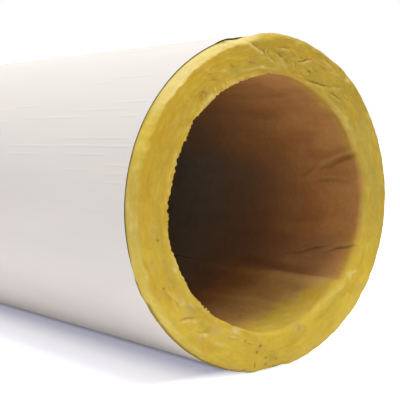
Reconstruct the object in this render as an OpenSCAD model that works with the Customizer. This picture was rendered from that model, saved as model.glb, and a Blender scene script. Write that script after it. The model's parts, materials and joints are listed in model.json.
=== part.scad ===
// Glass wool pipe insulation: a moulded wool sleeve, slit along one side so that it
// springs over a pipe, in a white paper-and-foil jacket whose lap covers the slit.
// It lies on its side. +X runs along the sleeve, +Z is up, and the origin is on the
// floor, under the middle of the sleeve.

/* [Wool sleeve] */
// Diameter of the bore, a close fit on the pipe
bore_d = 169; // [60:0.5:420]
// Thickness of the wool wall
wall = 25.4; // [13:0.1:76]
// Length of the sleeve from end face to end face
length = 914; // [150:1:1220]
// Rounding of the wool's outer edge at each end
edge_r = 5; // [1:0.5:10]
// Width of the knife slit, sprung shut
slit_w = 0.8; // [0.3:0.1:3]
// Place of the slit round the sleeve, in degrees up from the +Y side
slit_angle = -42; // [-60:1:-10]

/* [Jacket] */
// Thickness of the jacket laminate
jacket_t = 0.3; // [0.2:0.05:1]
// Adhesive film between the wool and the jacket
glue_t = 0.2; // [0.1:0.05:0.5]
// Bare wool past the jacket at each end
end_reveal = 8; // [0:0.5:40]
// Width of the lap that closes the jacket over the slit
lap_w = 40; // [20:1:60]

/* [Hidden] */
$fn = 96;

wool_colour = "gold";
jacket_colour = "whitesmoke";

bore_r = bore_d / 2;
wool_r = bore_r + wall;
jacket_in_r = wool_r + glue_t;
jacket_r = jacket_in_r + jacket_t;
lap_r = jacket_r + jacket_t;
jacket_len = length - 2 * end_reveal;
lap_angle = lap_w / jacket_r * 180 / PI;
// How far a cutting shape runs past the faces that it cuts
overcut = 1;

// Lays a shape that is drawn round the Z axis along +X, at its height above the floor.
// Angles in the drawing then count from the +Y side upwards.
module lay_along_x() {
    translate([0, 0, jacket_r])
        rotate([90, 0, 90])
            children();
}

// The wall of the sleeve in section: radius across, length up, outer corners rounded.
module wool_half_section() {
    translate([bore_r, -length / 2])
        square([wall - edge_r, length]);
    translate([bore_r, edge_r - length / 2])
        square([wall, length - 2 * edge_r]);
    for (end = [-1, 1])
        translate([wool_r - edge_r, end * (length / 2 - edge_r)])
            circle(r = edge_r);
}

// The straight cut from the bore to the outside, along the whole sleeve.
module slit() {
    rotate([0, 0, slit_angle])
        translate([bore_r - overcut, -slit_w / 2, -length / 2 - overcut])
            cube([wall + 2 * overcut, slit_w, length + 2 * overcut]);
}

module wool_sleeve() {
    color(wool_colour)
        lay_along_x()
            difference() {
                rotate_extrude() wool_half_section();
                slit();
            }
}

// A pie slice round the axis, from one angle to another, out to a reach.
module pie_slice(from, to, reach) {
    polygon([
        [0, 0],
        for (a = [from, (from + to) / 2, to]) reach * [cos(a), sin(a)]
    ]);
}

// The jacket across its length: one turn of laminate, and a second thickness
// from the slit down to the lap's free edge.
module jacket_section() {
    difference() {
        union() {
            circle(r = jacket_r);
            intersection() {
                circle(r = lap_r);
                pie_slice(slit_angle - lap_angle, slit_angle, 2 * lap_r);
            }
        }
        circle(r = jacket_in_r);
    }
}

module jacket() {
    color(jacket_colour)
        lay_along_x()
            linear_extrude(jacket_len, center = true)
                jacket_section();
}

wool_sleeve();
jacket();
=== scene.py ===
"""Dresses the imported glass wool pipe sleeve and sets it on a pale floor.

The wool gets a cut and torn end, a skinned bore, pits and loose fibres, and the jacket becomes a
creased paper sheet that laps over the slit. Sizes are in metres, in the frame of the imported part:
+X runs along the sleeve, +Z is up, and angles round the sleeve count from +Y towards +Z.
"""

import json
import logging
import math
from collections.abc import Iterator
from dataclasses import dataclass, field, fields
from enum import Enum

import bpy
import numpy as np
from mathutils import Matrix, Vector

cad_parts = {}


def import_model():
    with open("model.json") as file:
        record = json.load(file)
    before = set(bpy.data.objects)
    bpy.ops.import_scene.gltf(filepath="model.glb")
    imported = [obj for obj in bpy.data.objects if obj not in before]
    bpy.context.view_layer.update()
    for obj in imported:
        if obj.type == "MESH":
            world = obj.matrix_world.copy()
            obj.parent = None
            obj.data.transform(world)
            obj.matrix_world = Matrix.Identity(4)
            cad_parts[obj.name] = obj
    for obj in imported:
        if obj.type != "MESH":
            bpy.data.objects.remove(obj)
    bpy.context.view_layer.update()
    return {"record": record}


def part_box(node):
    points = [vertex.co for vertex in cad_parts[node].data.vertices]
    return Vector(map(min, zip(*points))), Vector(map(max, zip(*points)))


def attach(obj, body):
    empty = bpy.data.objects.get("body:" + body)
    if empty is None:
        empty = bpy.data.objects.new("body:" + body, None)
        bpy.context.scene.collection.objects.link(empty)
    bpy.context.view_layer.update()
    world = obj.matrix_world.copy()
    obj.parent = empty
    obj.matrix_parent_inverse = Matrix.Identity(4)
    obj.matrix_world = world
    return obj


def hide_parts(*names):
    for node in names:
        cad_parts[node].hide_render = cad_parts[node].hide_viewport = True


LOG = logging.getLogger("pipe_sleeve")
BODY = "root"
MM = 0.001
BACK_SHIFT = 40.0

Pair = tuple[float, float]
Triple = tuple[float, float, float]
Colour = Triple
Array = np.ndarray
Layer = tuple[Colour, Array]
Faces = list[list[int]]
Socket = bpy.types.NodeSocket
Material = bpy.types.Material
Piece = bpy.types.Object


class End(Enum):
    """An end of the sleeve, with the sign of its side of the origin."""

    FRONT = 1
    BACK = -1

    @property
    def front(self) -> float:
        """1 at the front and 0 at the back."""
        return float(self is End.FRONT)


class Zone(Enum):
    """A stretch of the wool's profile, in order from the outside to the bore."""

    OUTSIDE = 0
    EDGE = 1
    FACE = 2
    LIP = 3
    BORE = 4


class Stain(Enum):
    """What a mark on the cut wool is."""

    AMBER = "amber"
    ROSE = "rose"
    PIT = "pit"
    PALE = "pale"
    LEMON = "lemon"
    DULL = "dull"


def ease(low: float, high: float, value: Array) -> Array:
    """Rises smoothly from 0 at low to 1 at high, or falls where high is the lower of the two."""
    share = np.clip((value - low) / (high - low), 0.0, 1.0)
    return share * share * (3.0 - 2.0 * share)


def bell(value: Array) -> Array:
    """Falls from 1 at 0 towards 0 on both sides."""
    return np.exp(-(value**2))


def sector(angle: Array, centre: float, half: float, soft: float) -> Array:
    """Marks a sector given in degrees with 1, falling to 0 over a soft border at either side."""
    away = np.abs((np.degrees(angle) - centre + 180.0) % 360.0 - 180.0)
    return ease(half + soft, half, away)


class Sector(Enum):
    """A named sector of the sleeve: its middle, half of its full part and its border, in degrees."""

    # Shape of the ends
    TOP_DENT = (100.5, 3, 4.5)
    LOW_DENT = (271, 3, 6)
    TOP_BULGE = (92, 5, 6)
    SWOLLEN_TOP = (64, 15, 19)
    SWOLLEN_SIDE = (0, 40, 25)
    SWOLLEN_LOW = (232, 30, 12)
    BEVEL = (180, 66, 22)
    RAGGED_BAND = (10, 90, 20)
    PRESSED_LIP = (-10, 60, 45)
    CUT_LIP = (172, 70, 20)
    TORN_LIP = (158, 22, 10)
    LONG_FRINGE = (175, 72, 15)
    SWIRLED_FACE = (229, 20, 16)
    PITTED_FACE = (264, 14, 12)

    # Colours of the cut face
    OLIVE_FACE = (18, 26, 30)
    TORN_FACE = (72, 22, 22)
    LEMON_FACE = (268, 48, 50)
    ROSE_FACE = (235, 28, 20)
    PULLED_FACE = (300, 16, 12)
    SHADED_FACE = (160, 60, 20)
    SHADED_SLIT = (310, 8, 10)
    BRUSHED_FACE = (158, 44, 14)

    # Colours of the bare band and of the bore's edge
    SOFT_BAND = (164, 18, 14)
    LEMON_BAND = (222, 20, 16)
    LEMON_SIDE = (150, 8, 14)
    PALE_BAND = (120, 17, 14)
    PALE_SIDE = (208, 24, 12)
    # Sector of painted shade on the outer edge where it turns away
    TURNED_BAND = (28, 44, 20)
    # Sectors where the painted shadow in the gap beside the jacket is wider
    TOP_GAP = (107, 3, 2.5)
    SIDE_GAP = (205, 1, 2)
    LOW_GAP = (234, 20, 8)
    PALE_RIM = (168, 62, 18)
    FUZZY_RIM = (124, 7, 6)
    BARE_BOTTOM = (-84, 18, 14)
    BARE_TOP = (46, 24, 14)

    # Skin of the bore
    TAN_SKIN = (-66, 22, 8)
    # Sector where the bore's painted shade is lessened
    CLEAN_SKIN = (58, 26, 24)
    # Sector of painted shade over the slit
    OVER_SLIT = (-31, 8, 7)
    FADED_BOTTOM = (-74, 22, 12)
    FADED_TOP = (48, 20, 14)
    FADED_SLIT = (-30, 14, 10)
    LATE_BOTTOM = (-78, 15, 14)

    def share(self, angle: Array, front: Array | float = 1.0) -> Array:
        """1 in the sector, falling to 0 over its borders. Where front is 0 it is left out."""
        return sector(angle, *self.value) * front


def half_turn(angle: Array) -> Array:
    """Brings angles in radians to at most half a turn either way."""
    return (angle + math.pi) % (2 * math.pi) - math.pi


def rows(*parts: Array | float) -> Array:
    """Puts coordinates together into points, one row each."""
    return np.stack(np.broadcast_arrays(*parts), axis=-1)


def across_up(radius: Array, angle: Array) -> tuple[Array, Array]:
    """Places across and up from the axis."""
    return radius * np.cos(angle), radius * np.sin(angle)


def end_shift(front: Array) -> Array:
    """Moves the back end to another part of the noise, so that the two ends differ."""
    return BACK_SHIFT * (1.0 - front)


def paint(colours: Array, layers: Iterator[Layer]) -> Array:
    """Lays colours over an array of colours, one after another.

    Args:
        colours: Colours, one row each.
        layers: Each colour laid over them, and how much of it each row takes, from 0 to 1.

    Returns:
        The mixed colours, one row each.
    """
    for colour, share in layers:
        colours = colours + (np.array(colour) - colours) * share[:, None]
    return colours


class FibreNoise:
    """Smooth noise on a repeating lattice of seeded slopes, from about -1 to 1."""

    GAIN = 1.7
    SHIFT = 17.3
    CREST = 1.6

    def __init__(self, seed: int, cells: int = 48) -> None:
        """Draws the lattice.

        Args:
            seed: Seed of the draw.
            cells: Cells along each side before the lattice repeats.
        """
        slopes = np.random.default_rng(seed).normal(size=(cells, cells, cells, 3))
        self.cells = cells
        self.slopes = slopes / np.linalg.norm(slopes, axis=-1, keepdims=True)

    def sample(self, points: Array) -> Array:
        """Looks the noise up.

        Args:
            points: Places in units of one cell, in rows of three.

        Returns:
            The noise at each place.
        """
        base = np.floor(points).astype(int)
        inside = points - base
        eased = inside**3 * (inside * (inside * 6.0 - 15.0) + 10.0)
        total = np.zeros(points.shape[:-1])
        for corner in np.ndindex(2, 2, 2):
            cell = (base + corner) % self.cells
            slope = self.slopes[cell[..., 0], cell[..., 1], cell[..., 2]]
            weight = np.where(corner, eased, 1.0 - eased).prod(axis=-1)
            total += weight * ((inside - corner) * slope).sum(axis=-1)
        return total * self.GAIN

    def fractal(self, points: Array, octaves: int, gain: float = 0.5) -> Array:
        """Adds finer and weaker copies of the noise.

        Args:
            points: Places in units of the coarsest cell, in rows of three.
            octaves: How many copies, each twice as fine as the one before.
            gain: Strength of each copy beside the one before.

        Returns:
            The summed noise at each place.
        """
        total = np.zeros(points.shape[:-1])
        for octave in range(octaves):
            total += gain**octave * self.sample(points * 2.0**octave + self.SHIFT * octave)
        return total

    def ridges(self, points: Array, octaves: int) -> Array:
        """Folds the noise into sharp crests, from 0 between them to 1 on them."""
        return np.clip(1.0 - np.abs(self.fractal(points, octaves)) * self.CREST, 0.0, 1.0)


@dataclass(frozen=True)
class SleeveSizes:
    """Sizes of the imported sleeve.

    Attributes:
        axis_height: Height of the sleeve's axis over the floor.
        half_length: Half of the wool's length.
        wool_radius: Radius of the wool.
        bore_radius: Radius of the bore.
        jacket_radius: Radius of the jacket, without its lap.
        jacket_half_length: Half of the jacket's length.
        slit_angle: Place of the knife slit, in degrees.
        dent: Depth of the dent at the top of the front end.
        dent_run: How far behind the end the dent ends, and where it is full.
    """

    axis_height: float
    half_length: float
    wool_radius: float
    bore_radius: float
    jacket_radius: float
    jacket_half_length: float
    slit_angle: float = -42.0
    dent: float = 1.1 * MM
    dent_run: Pair = (45.0 * MM, 8.0 * MM)

    @classmethod
    def from_frame(cls, record: dict) -> "SleeveSizes":
        """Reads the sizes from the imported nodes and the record's mounts.

        Args:
            record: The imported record.

        Returns:
            The sizes.
        """
        wool_low, wool_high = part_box("wool_sleeve")
        jacket_low, jacket_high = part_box("jacket")
        bore = next(mount for mount in record["mounts"] if mount["name"] == "pipe_bore")
        return cls(
            axis_height=(wool_low.z + wool_high.z) / 2,
            half_length=wool_high.x,
            wool_radius=(wool_high.z - wool_low.z) / 2,
            bore_radius=bore["dims"]["r_mm"] * MM,
            jacket_radius=(jacket_high.z - jacket_low.z) / 2,
            jacket_half_length=jacket_high.x,
        )

    @property
    def wall(self) -> float:
        """Thickness of the wool's wall."""
        return self.wool_radius - self.bore_radius

    @property
    def bare(self) -> float:
        """Length of wool that the jacket leaves bare at each end."""
        return self.half_length - self.jacket_half_length

    def wall_share(self, radius: Array) -> Array:
        """Place in the wall, as a share from the bore outwards."""
        return (radius - self.bore_radius) / self.wall

    def radius_at(self, share: Array | float) -> Array | float:
        """Distance from the axis of a place in the wall."""
        return self.bore_radius + share * self.wall

    def pressed_in(self, angle: Array, depth: Array, front: Array) -> Array:
        """How far wool and jacket are pressed in at the top of the front end."""
        return self.dent * Sector.TOP_DENT.share(angle) * ease(*self.dent_run, depth) * front

    def turn(self, x: Array, angle: Array, radius: Array) -> Array:
        """Turns places along the sleeve, angles and distances from the axis into points."""
        across, up = across_up(radius, angle)
        return rows(x, across, self.axis_height + up)


@dataclass(frozen=True)
class Crease:
    """A fold in a surface, along a line of a few points.

    Attributes:
        points: Places of the fold. On a cut end each is an angle in degrees and a share of the wall
            from the bore outwards, and in the bore an angle in degrees and a depth in metres.
        depth: Depth of the groove, in millimetres.
        width: Half of the groove's width, in millimetres.
        lip: Height of the lip beside the groove, in millimetres.
        dark: How much painted shade the groove gets, from 0 to 1.
        light: How much painted highlight the lip gets, from 0 to 1.
        lip_place: Widths from the groove's middle to the lip's, on the left looking along the points.
    """

    LIP_WIDTH = 1.3
    TIP = 0.02

    points: tuple[Pair, ...]
    depth: float
    width: float
    lip: float = 0.0
    dark: float = 0.0
    light: float = 0.0
    lip_place: float = 1.8

    def shares(self, path: Array, across: Array, along: Array) -> tuple[Array, Array]:
        """Where the fold's groove and its lip lie.

        Args:
            path: The points in metres on the unrolled surface, one row of two each.
            across: First coordinates on that surface.
            along: Second coordinates on that surface.

        Returns:
            The groove's share and the lip's share at each place, each from 0 to 1.
        """
        nearest = np.full(across.shape, np.inf)
        signed = np.zeros(across.shape)
        share = np.zeros(across.shape)
        spans = len(path) - 1
        for index in range(spans):
            start = path[index]
            step = path[index + 1] - start
            run = ((across - start[0]) * step[0] + (along - start[1]) * step[1]) / (step @ step)
            run = np.clip(run, 0.0, 1.0)
            off_across = across - start[0] - run * step[0]
            off_along = along - start[1] - run * step[1]
            distance = np.hypot(off_across, off_along)
            closer = distance < nearest
            side = step[0] * off_along - step[1] * off_across
            signed = np.where(closer, np.copysign(distance, side), signed)
            share = np.where(closer, (index + run) / spans, share)
            nearest = np.minimum(nearest, distance)
        fade = np.sqrt(np.sin(np.pi * np.clip(share, self.TIP, 1.0 - self.TIP)))
        across_groove = signed / (self.width * MM)
        groove = fade * bell(across_groove)
        off_lip = (across_groove - self.lip_place) / self.LIP_WIDTH
        return groove, fade * bell(off_lip)

    def relief(self, path: Array, across: Array, along: Array) -> Array:
        """Height of the fold at each place, below 0 in the groove."""
        groove, lip = self.shares(path, across, along)
        return (self.lip * lip - self.depth * groove) * MM


@dataclass(frozen=True)
class Mark:
    """A small stain or pit on the front end.

    Attributes:
        angle: Its place round the sleeve, in degrees.
        share: Its place in the wall, as a share from the bore outwards.
        size: Half of its width, in millimetres.
        stretch: How many times longer it is round the sleeve than across the wall.
    """

    angle: float
    share: float
    size: float
    stretch: float = 1.0


# Folds of the front end: a row holds the fields of a Crease, in their order
FRONT_FOLDS = tuple(Crease(*row) for row in (
    (((96.5, 0.62), (98.5, 0.72), (100.5, 0.85), (103, 0.97)), 0.6, 0.8, 0.6, 0.4, 0.6),
    (((92.5, 0.44), (93.5, 0.47), (94.5, 0.57), (96.5, 0.66)), 0.5, 0.5, 0.2, 0.8, 0.25),
    (((89, 0.32), (90.5, 0.38), (92, 0.44)), 0.5, 0.6, 0.3, 0.6, 0.35),
    (((92, 0.5), (92.5, 0.6)), 0.3, 0.5, 0.2, 0.5, 0.45),
    (((87.5, 0.54), (86, 0.5), (84.7, 0.47)), 0.6, 0.7, 0, 0.95),
    (((83.7, 0.43), (82, 0.37)), 0.4, 0.6, 0, 0.65),
    (((82, 0.73), (84.5, 0.71), (87, 0.68)), 0.3, 0.6, 0.3, 0.35, 0.35, 2.2),
    (((83.5, 0.61), (86.5, 0.58), (89.5, 0.56)), 0.3, 0.7, 0, 0.4),
    (((88, 0.5), (86, 0.41), (83.5, 0.24), (81, 0.17)), 0, 1.2, 0.5, 0, 0.25, 0),
    (((77.3, 0.28), (77.7, 0.35), (78.3, 0.44)), 0.4, 0.6, 0.2, 0.55, 0.3),
    (((70, 0.68), (72.5, 0.58), (74.5, 0.5), (76.3, 0.47)), 0.5, 0.5, 0.3, 0.95, 0.4, 2.2),
    (((74, 0.6), (75.3, 0.61)), 0.3, 0.5, 0, 0.5),
    (((70.6, 0.38), (69, 0.37), (67.8, 0.32)), 0.6, 0.6, 0.2, 0.95, 0.1),
    (((65, 0.46), (66.5, 0.46)), 0.3, 0.5, 0, 0.45),
    (((56.5, 0.33), (59.5, 0.26), (62.5, 0.21), (66.5, 0.14), (70, 0.1)),
     0.6, 0.65, 0.4, 0.75, 0.3),
    (((51, 0.62), (53.5, 0.5), (56.5, 0.36)), 0.3, 0.8, 0.2, 0.3, 0.15),
    (((48.5, 0.3), (51.5, 0.28), (54, 0.26)), 0.6, 0.6, 0.3, 0.75, 0.2),
    (((44, 0.56), (48, 0.46)), 0.3, 0.7, 0.2, 0.3, 0.15),
    (((59, 0.83), (61.5, 0.8), (65, 0.84)), 0, 0.6, 0.25, 0, 0.35, 0),
    (((56, 0.76), (61.5, 0.67)), 0, 0.6, 0.25, 0, 0.3, 0),
    (((70, 0.62), (63, 0.66), (58, 0.74)), 0.3, 0.8, 0.2, 0.2, 0.15),
    (((58, 0.07), (48, 0.08), (41, 0.1), (34, 0.1), (24, 0.06)), 0, 1.2, 0.4, 0, 0.22, 0),
    (((108, 0.14), (98, 0.12), (86, 0.08)), 0.2, 0.7, 0.2, 0.15, 0.25),
    (((99.5, 0.28), (101.5, 0.34), (103, 0.37)), 0.3, 0.6, 0, 0.5),
    (((110.3, 0.33), (112.2, 0.47)), 0.3, 0.6, 0, 0.45),
    (((119.5, 0.26), (122.8, 0.37)), 0.3, 0.6, 0, 0.45),
    (((121.5, 0.5), (122.8, 0.53)), 0.2, 0.5, 0, 0.45),
    (((121.8, 0.61), (123.8, 0.7)), 0, 0.4, 0.1, 0, 0.45, 0),
    (((114, 0.34), (118.3, 0.46)), 0, 0.4, 0.1, 0, 0.35, 0),
    (((94.6, 0.19), (97.2, 0.2)), 0, 0.4, 0.1, 0, 0.55, 0),
    (((94.8, 0.52), (96.8, 0.52)), 0, 0.4, 0.1, 0, 0.5, 0),
    (((129.3, 0.06), (128, 0.19), (128.6, 0.27), (130, 0.28), (131.2, 0.22), (131, 0.14)),
     0.4, 0.7, 0, 0.45),
    (((228, 0.28), (226, 0.36), (224, 0.49), (223, 0.58), (222, 0.68)),
     0.3, 0.6, 0.3, 0.4, 0.36, 3),
    (((226.5, 0.46), (228.5, 0.42), (230.5, 0.52)), 0, 0.8, 0.25, 0, 0.3, 0),
    (((236, 0.36), (233.5, 0.47), (230.5, 0.56)), 0.2, 0.6, 0.3, 0.3, 0.3, 3.2),
    (((217.5, 0.3), (219.5, 0.34)), 0, 0.9, 0.25, 0, 0.35, 0),
    (((221, 0.27), (224, 0.22)), 0.2, 0.7, 0.25, 0.18, 0.35),
    (((209, 0.62), (214, 0.5), (219, 0.46)), 0.2, 0.7, 0.2, 0.2, 0.2),
    (((246, 0.03), (251, 0.01)), 0, 0.8, 0.2, 0, 0.5, 0),
    (((247.5, 0.13), (251.5, 0.15)), 0.2, 0.6, 0.2, 0.2, 0.5),
    (((246, 0.27), (252, 0.24)), 0.2, 0.6, 0.2, 0.2, 0.4),
    (((240, 0.57), (243, 0.51), (247, 0.46)), 0, 0.8, 0.2, 0, 0.4, 0),
    (((256.3, 0.26), (259.3, 0.31)), 0.3, 0.5, 0, 0.5),
    (((287, 0.04), (285, 0.24)), 0.3, 0.7, 0.2, 0.25, 0.2),
    (((299, -0.09), (306.5, -0.04), (311.5, 0.04), (315.5, 0.11), (318.5, 0.2)),
     0, 1.3, 0.5, 0, 0.38, 0),
    (((324, 0.08), (327.5, 0.42)), 0, 0.6, 0.2, 0, 0.6, 0),
))

# Stains and pits of the front end: angle in degrees, share of the wall, half width in millimetres and,
# where a mark isn't round, its stretch
FRONT_MARKS = {
    Stain.AMBER: (
        (103.5, 0.68, 2.4, 1.2), (122, 0.42, 3, 1.8), (150, 0.55, 4, 3), (172, 0.6, 3.5, 3),
        (40, 0.47, 2.2, 2), (75, 0.91, 1.6, 1.6), (92, 0.97, 1, 6), (1, 0.3, 2, 2.4),
        (333, 0.4, 1.8, 4.4), (315.5, 0.35, 1.8, 1.6), (118, 0.8, 1.4, 1.6), (129.7, 0.19, 2.6, 1.2),
        (212, 0.6, 2.2, 1.6), (224.5, 0.57, 1.6), (209.6, 0.33, 2.6, 1.8),
    ),
    Stain.ROSE: (
        (199, 0.64, 1.8, 1.5), (216.5, 0.31, 2.2, 1.4), (222.5, 0.26, 2.4, 1.4), (223.5, 0.42, 1.6, 1.4),
        (233.5, 0.66, 2, 1.4), (239, 0.24, 3, 1.6), (265, 0.38, 2), (268, 0.76, 1.8, 1.6),
        (286, 0.14, 2.4, 1.6), (323.5, 0.76, 1.6, 1.6), (324.5, 0.33, 1.4), (188.5, 0.47, 1.5),
        (186, 0.35, 1.4, 1.4), (209, 0.36, 1.4, 1.2), (222.9, 0.5, 1.4, 1.6), (237.5, 0.43, 1.3, 1.2),
    ),
    Stain.PALE: (
        (99, 0.94, 2, 1.8), (104, 0.95, 1.8, 1.6), (249, 0.06, 2, 2), (126.5, 0.05, 0.9, 1.4),
        (123, 0.13, 0.8, 0.7), (50, 0.92, 1.2, 1.6), (323.7, 0.21, 1.7, 1.2), (204.9, 0.1, 1.2, 2),
        (234.9, 0.49, 1.1, 1.8),
    ),
    Stain.LEMON: (
        (93, 0.9, 1.6, 3.4), (77.5, 0.93, 1.4, 2), (70, 0.95, 1.2, 1.8), (119, 0.84, 1.2, 1.8),
        (112, 0.86, 1.4, 2.4), (295, 0.06, 1.8, 3.4), (319, 0.14, 2, 1.2), (289, 0.52, 3.4, 2.4),
        (232.5, 0.84, 2.4, 2.4), (226, 0.58, 3, 1.8), (243, 0.56, 2.4, 2.6), (339, 0.48, 1.8, 2),
    ),
    Stain.DULL: (
        (94.5, 0.78, 1.1), (129.7, 0.19, 2, 1.2), (66, 0.46, 3.6, 2.6), (83, 0.54, 2.6, 1.8),
        (100.5, 0.32, 2, 1.6), (111, 0.28, 2.4, 2), (8, 0.5, 2.6, 3), (235.5, 0.31, 1.8, 1.2),
        (231.5, 0.35, 1.2, 1.2), (190.5, 0.37, 1.3), (187.3, 0.42, 1), (270, 0.64, 3.2, 1.6),
        (208.9, 0.29, 1.6, 1.6), (217, 0.47, 1.1, 1.4), (213.2, 0.56, 1.3), (193.1, 0.59, 0.9),
        (199.1, 0.33, 0.9), (197.9, 0.64, 1), (206.6, 0.79, 0.8), (233.8, 0.36, 1.4, 1.4),
    ),
    Stain.PIT: (
        (191, 0.34, 0.6), (208.5, 0.58, 0.6), (255.5, 0.23, 0.7), (264, 0.33, 0.9), (262.5, 0.49, 0.8),
        (267, 0.64, 0.6), (267, 0.8, 0.6), (262, 0.79, 0.6), (262, 0.86, 0.6), (272, 0.7, 0.5),
        (271, 0.87, 0.5), (275, 0.88, 0.6), (257.8, 0.97, 0.8, 2),
    ),
}

# How much of a stain's colour shows in its middle
STAIN_STRENGTH = {
    Stain.AMBER: 0.55, Stain.ROSE: 0.7, Stain.PIT: 0.7,
    Stain.PALE: 0.75, Stain.LEMON: 0.7, Stain.DULL: 0.6,
}

# How far the wool's outer edge stands past its round at the front, in millimetres
SWELLS = (
    (Sector.SWOLLEN_TOP, 1.6), (Sector.SWOLLEN_SIDE, 0.8), (Sector.SWOLLEN_LOW, 1.2), (Sector.LOW_DENT, -1.3),
)

# Where the jacket's front end stands off the wool: middle, half width and border in degrees,
# and height in millimetres
JACKET_GAPS = (
    (106.5, 3, 4, 0.5), (205, 1.5, 4, 0.5), (234, 26, 4, 0.15), (258, 2.5, 4, 0.3),
)

# Where the torn part of the front end starts: share of the wall, angle in degrees
TORN_EDGE = ((0, 86), (0.33, 89), (0.48, 94), (0.7, 99), (0.84, 101), (1, 103))

# Where the bore's edge at the front bends inwards: middle, half width and border in degrees,
# and height in millimetres
LIP_WAVES = (
    (40, 6, 10, 1.6), (138, 34, 14, 1.5), (166, 14, 12, 1.2),
    (178, 1.5, 6, -0.9), (228, 22, 12, 1.2), (250, 5, 10, 1),
)

# Sharp creases of the jacket near the front end: angle in degrees, where along X each starts and ends
JACKET_CREASES = (
    (131.5, 0.384, 0.425), (133.5, 0.36, 0.382), (143.4, 0.407, 0.446), (143.6, 0.258, 0.309),
    (146.2, 0.365, 0.42), (149, 0.419, 0.44), (149, 0.301, 0.373), (157, 0.363, 0.44),
    (160, 0.291, 0.355), (159.8, 0.368, 0.447), (163.1, 0.292, 0.331), (162.7, 0.378, 0.418),
    (166, 0.424, 0.446), (168, 0.38, 0.405), (168.7, 0.428, 0.446), (171.5, 0.43, 0.446),
)

# Patches of the skin in the lower bore: angle in degrees, depth, half sizes round and along in millimetres,
# and how far each is lighter (above 0) or darker (below 0)
BORE_PATCHES = (
    (-52.5, 0.095, 7, 16, -0.3), (-62.5, 0.074, 7, 16, 0.22), (-50.5, 0.031, 5, 10, -0.36),
    (-44.5, 0.056, 3.5, 14, 0.28), (-44.5, 0.012, 3, 9, 0.3), (-59.5, 0.022, 5, 7, 0.3),
    (-36, 0.062, 5, 20, 0.12), (-72, 0.012, 4, 6, 0.2),
)

# Creases of the skin in the bore, near the front end: these rows hold the fields of a Crease too
BORE_CREASES = tuple(Crease(*row) for row in (
    (((14, 0.044), (17, 0.027), (20, 0.014), (23, -0.003)), 1.3, 2, 0.9, 0.5, 0.2),
    (((7, 0.05), (9, 0.029), (8, 0.01)), 0.7, 1.6, 0.5, 0.3, 0.15),
    (((-31, 0.066), (-29, 0.05), (-26, 0.039), (-25.5, 0.034), (-24, 0.026)),
     1, 0.9, 0.5, 0.6, 0.15),
    (((-28.5, 0.029), (-27, 0.023), (-25.5, 0.019), (-24.5, 0.015), (-24, 0.008), (-22.5, 0.003),
      (-21.5, -0.003)), 1.1, 0.8, 0.7, 0.65, 0.3),
    (((44, 0.06), (40, 0.068), (35, 0.075), (30, 0.082)), 0.5, 0.9, 0.5, 0.1, 0.34),
    (((19, 0.036), (15, 0.046), (11, 0.057), (10, 0.062)), 0.6, 1.2, 0.6, 0.1, 0.34),
    (((14, 0.08), (13.6, 0.084), (12, 0.085)), 0.3, 0.9, 0.4, 0, 0.4),
    (((-8, 0.03), (-12, 0.06), (-14, 0.095)), 0.5, 2.6, 0.4, 0.15, 0.1),
    (((-62, 0.02), (-60, 0.06), (-63, 0.11)), 0.7, 3, 0.5, 0.1, 0.1),
    (((-80, 0.043), (-82, 0.048), (-78, 0.054)), 0.7, 1, 0.6, 0.2, 0.6),
    (((64, 0.02), (58, 0.055), (60, 0.09)), 0.5, 2.6, 0.4, 0.1, 0.1),
    (((-44, 0.004), (-45, 0.06), (-45, 0.15)), 0, 2, 0, 0, 0.45, 0),
    (((-40.5, 0.028), (-38.5, 0.06), (-38, 0.12)), 0.8, 4, 0, 0.38, 0),
))


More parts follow.
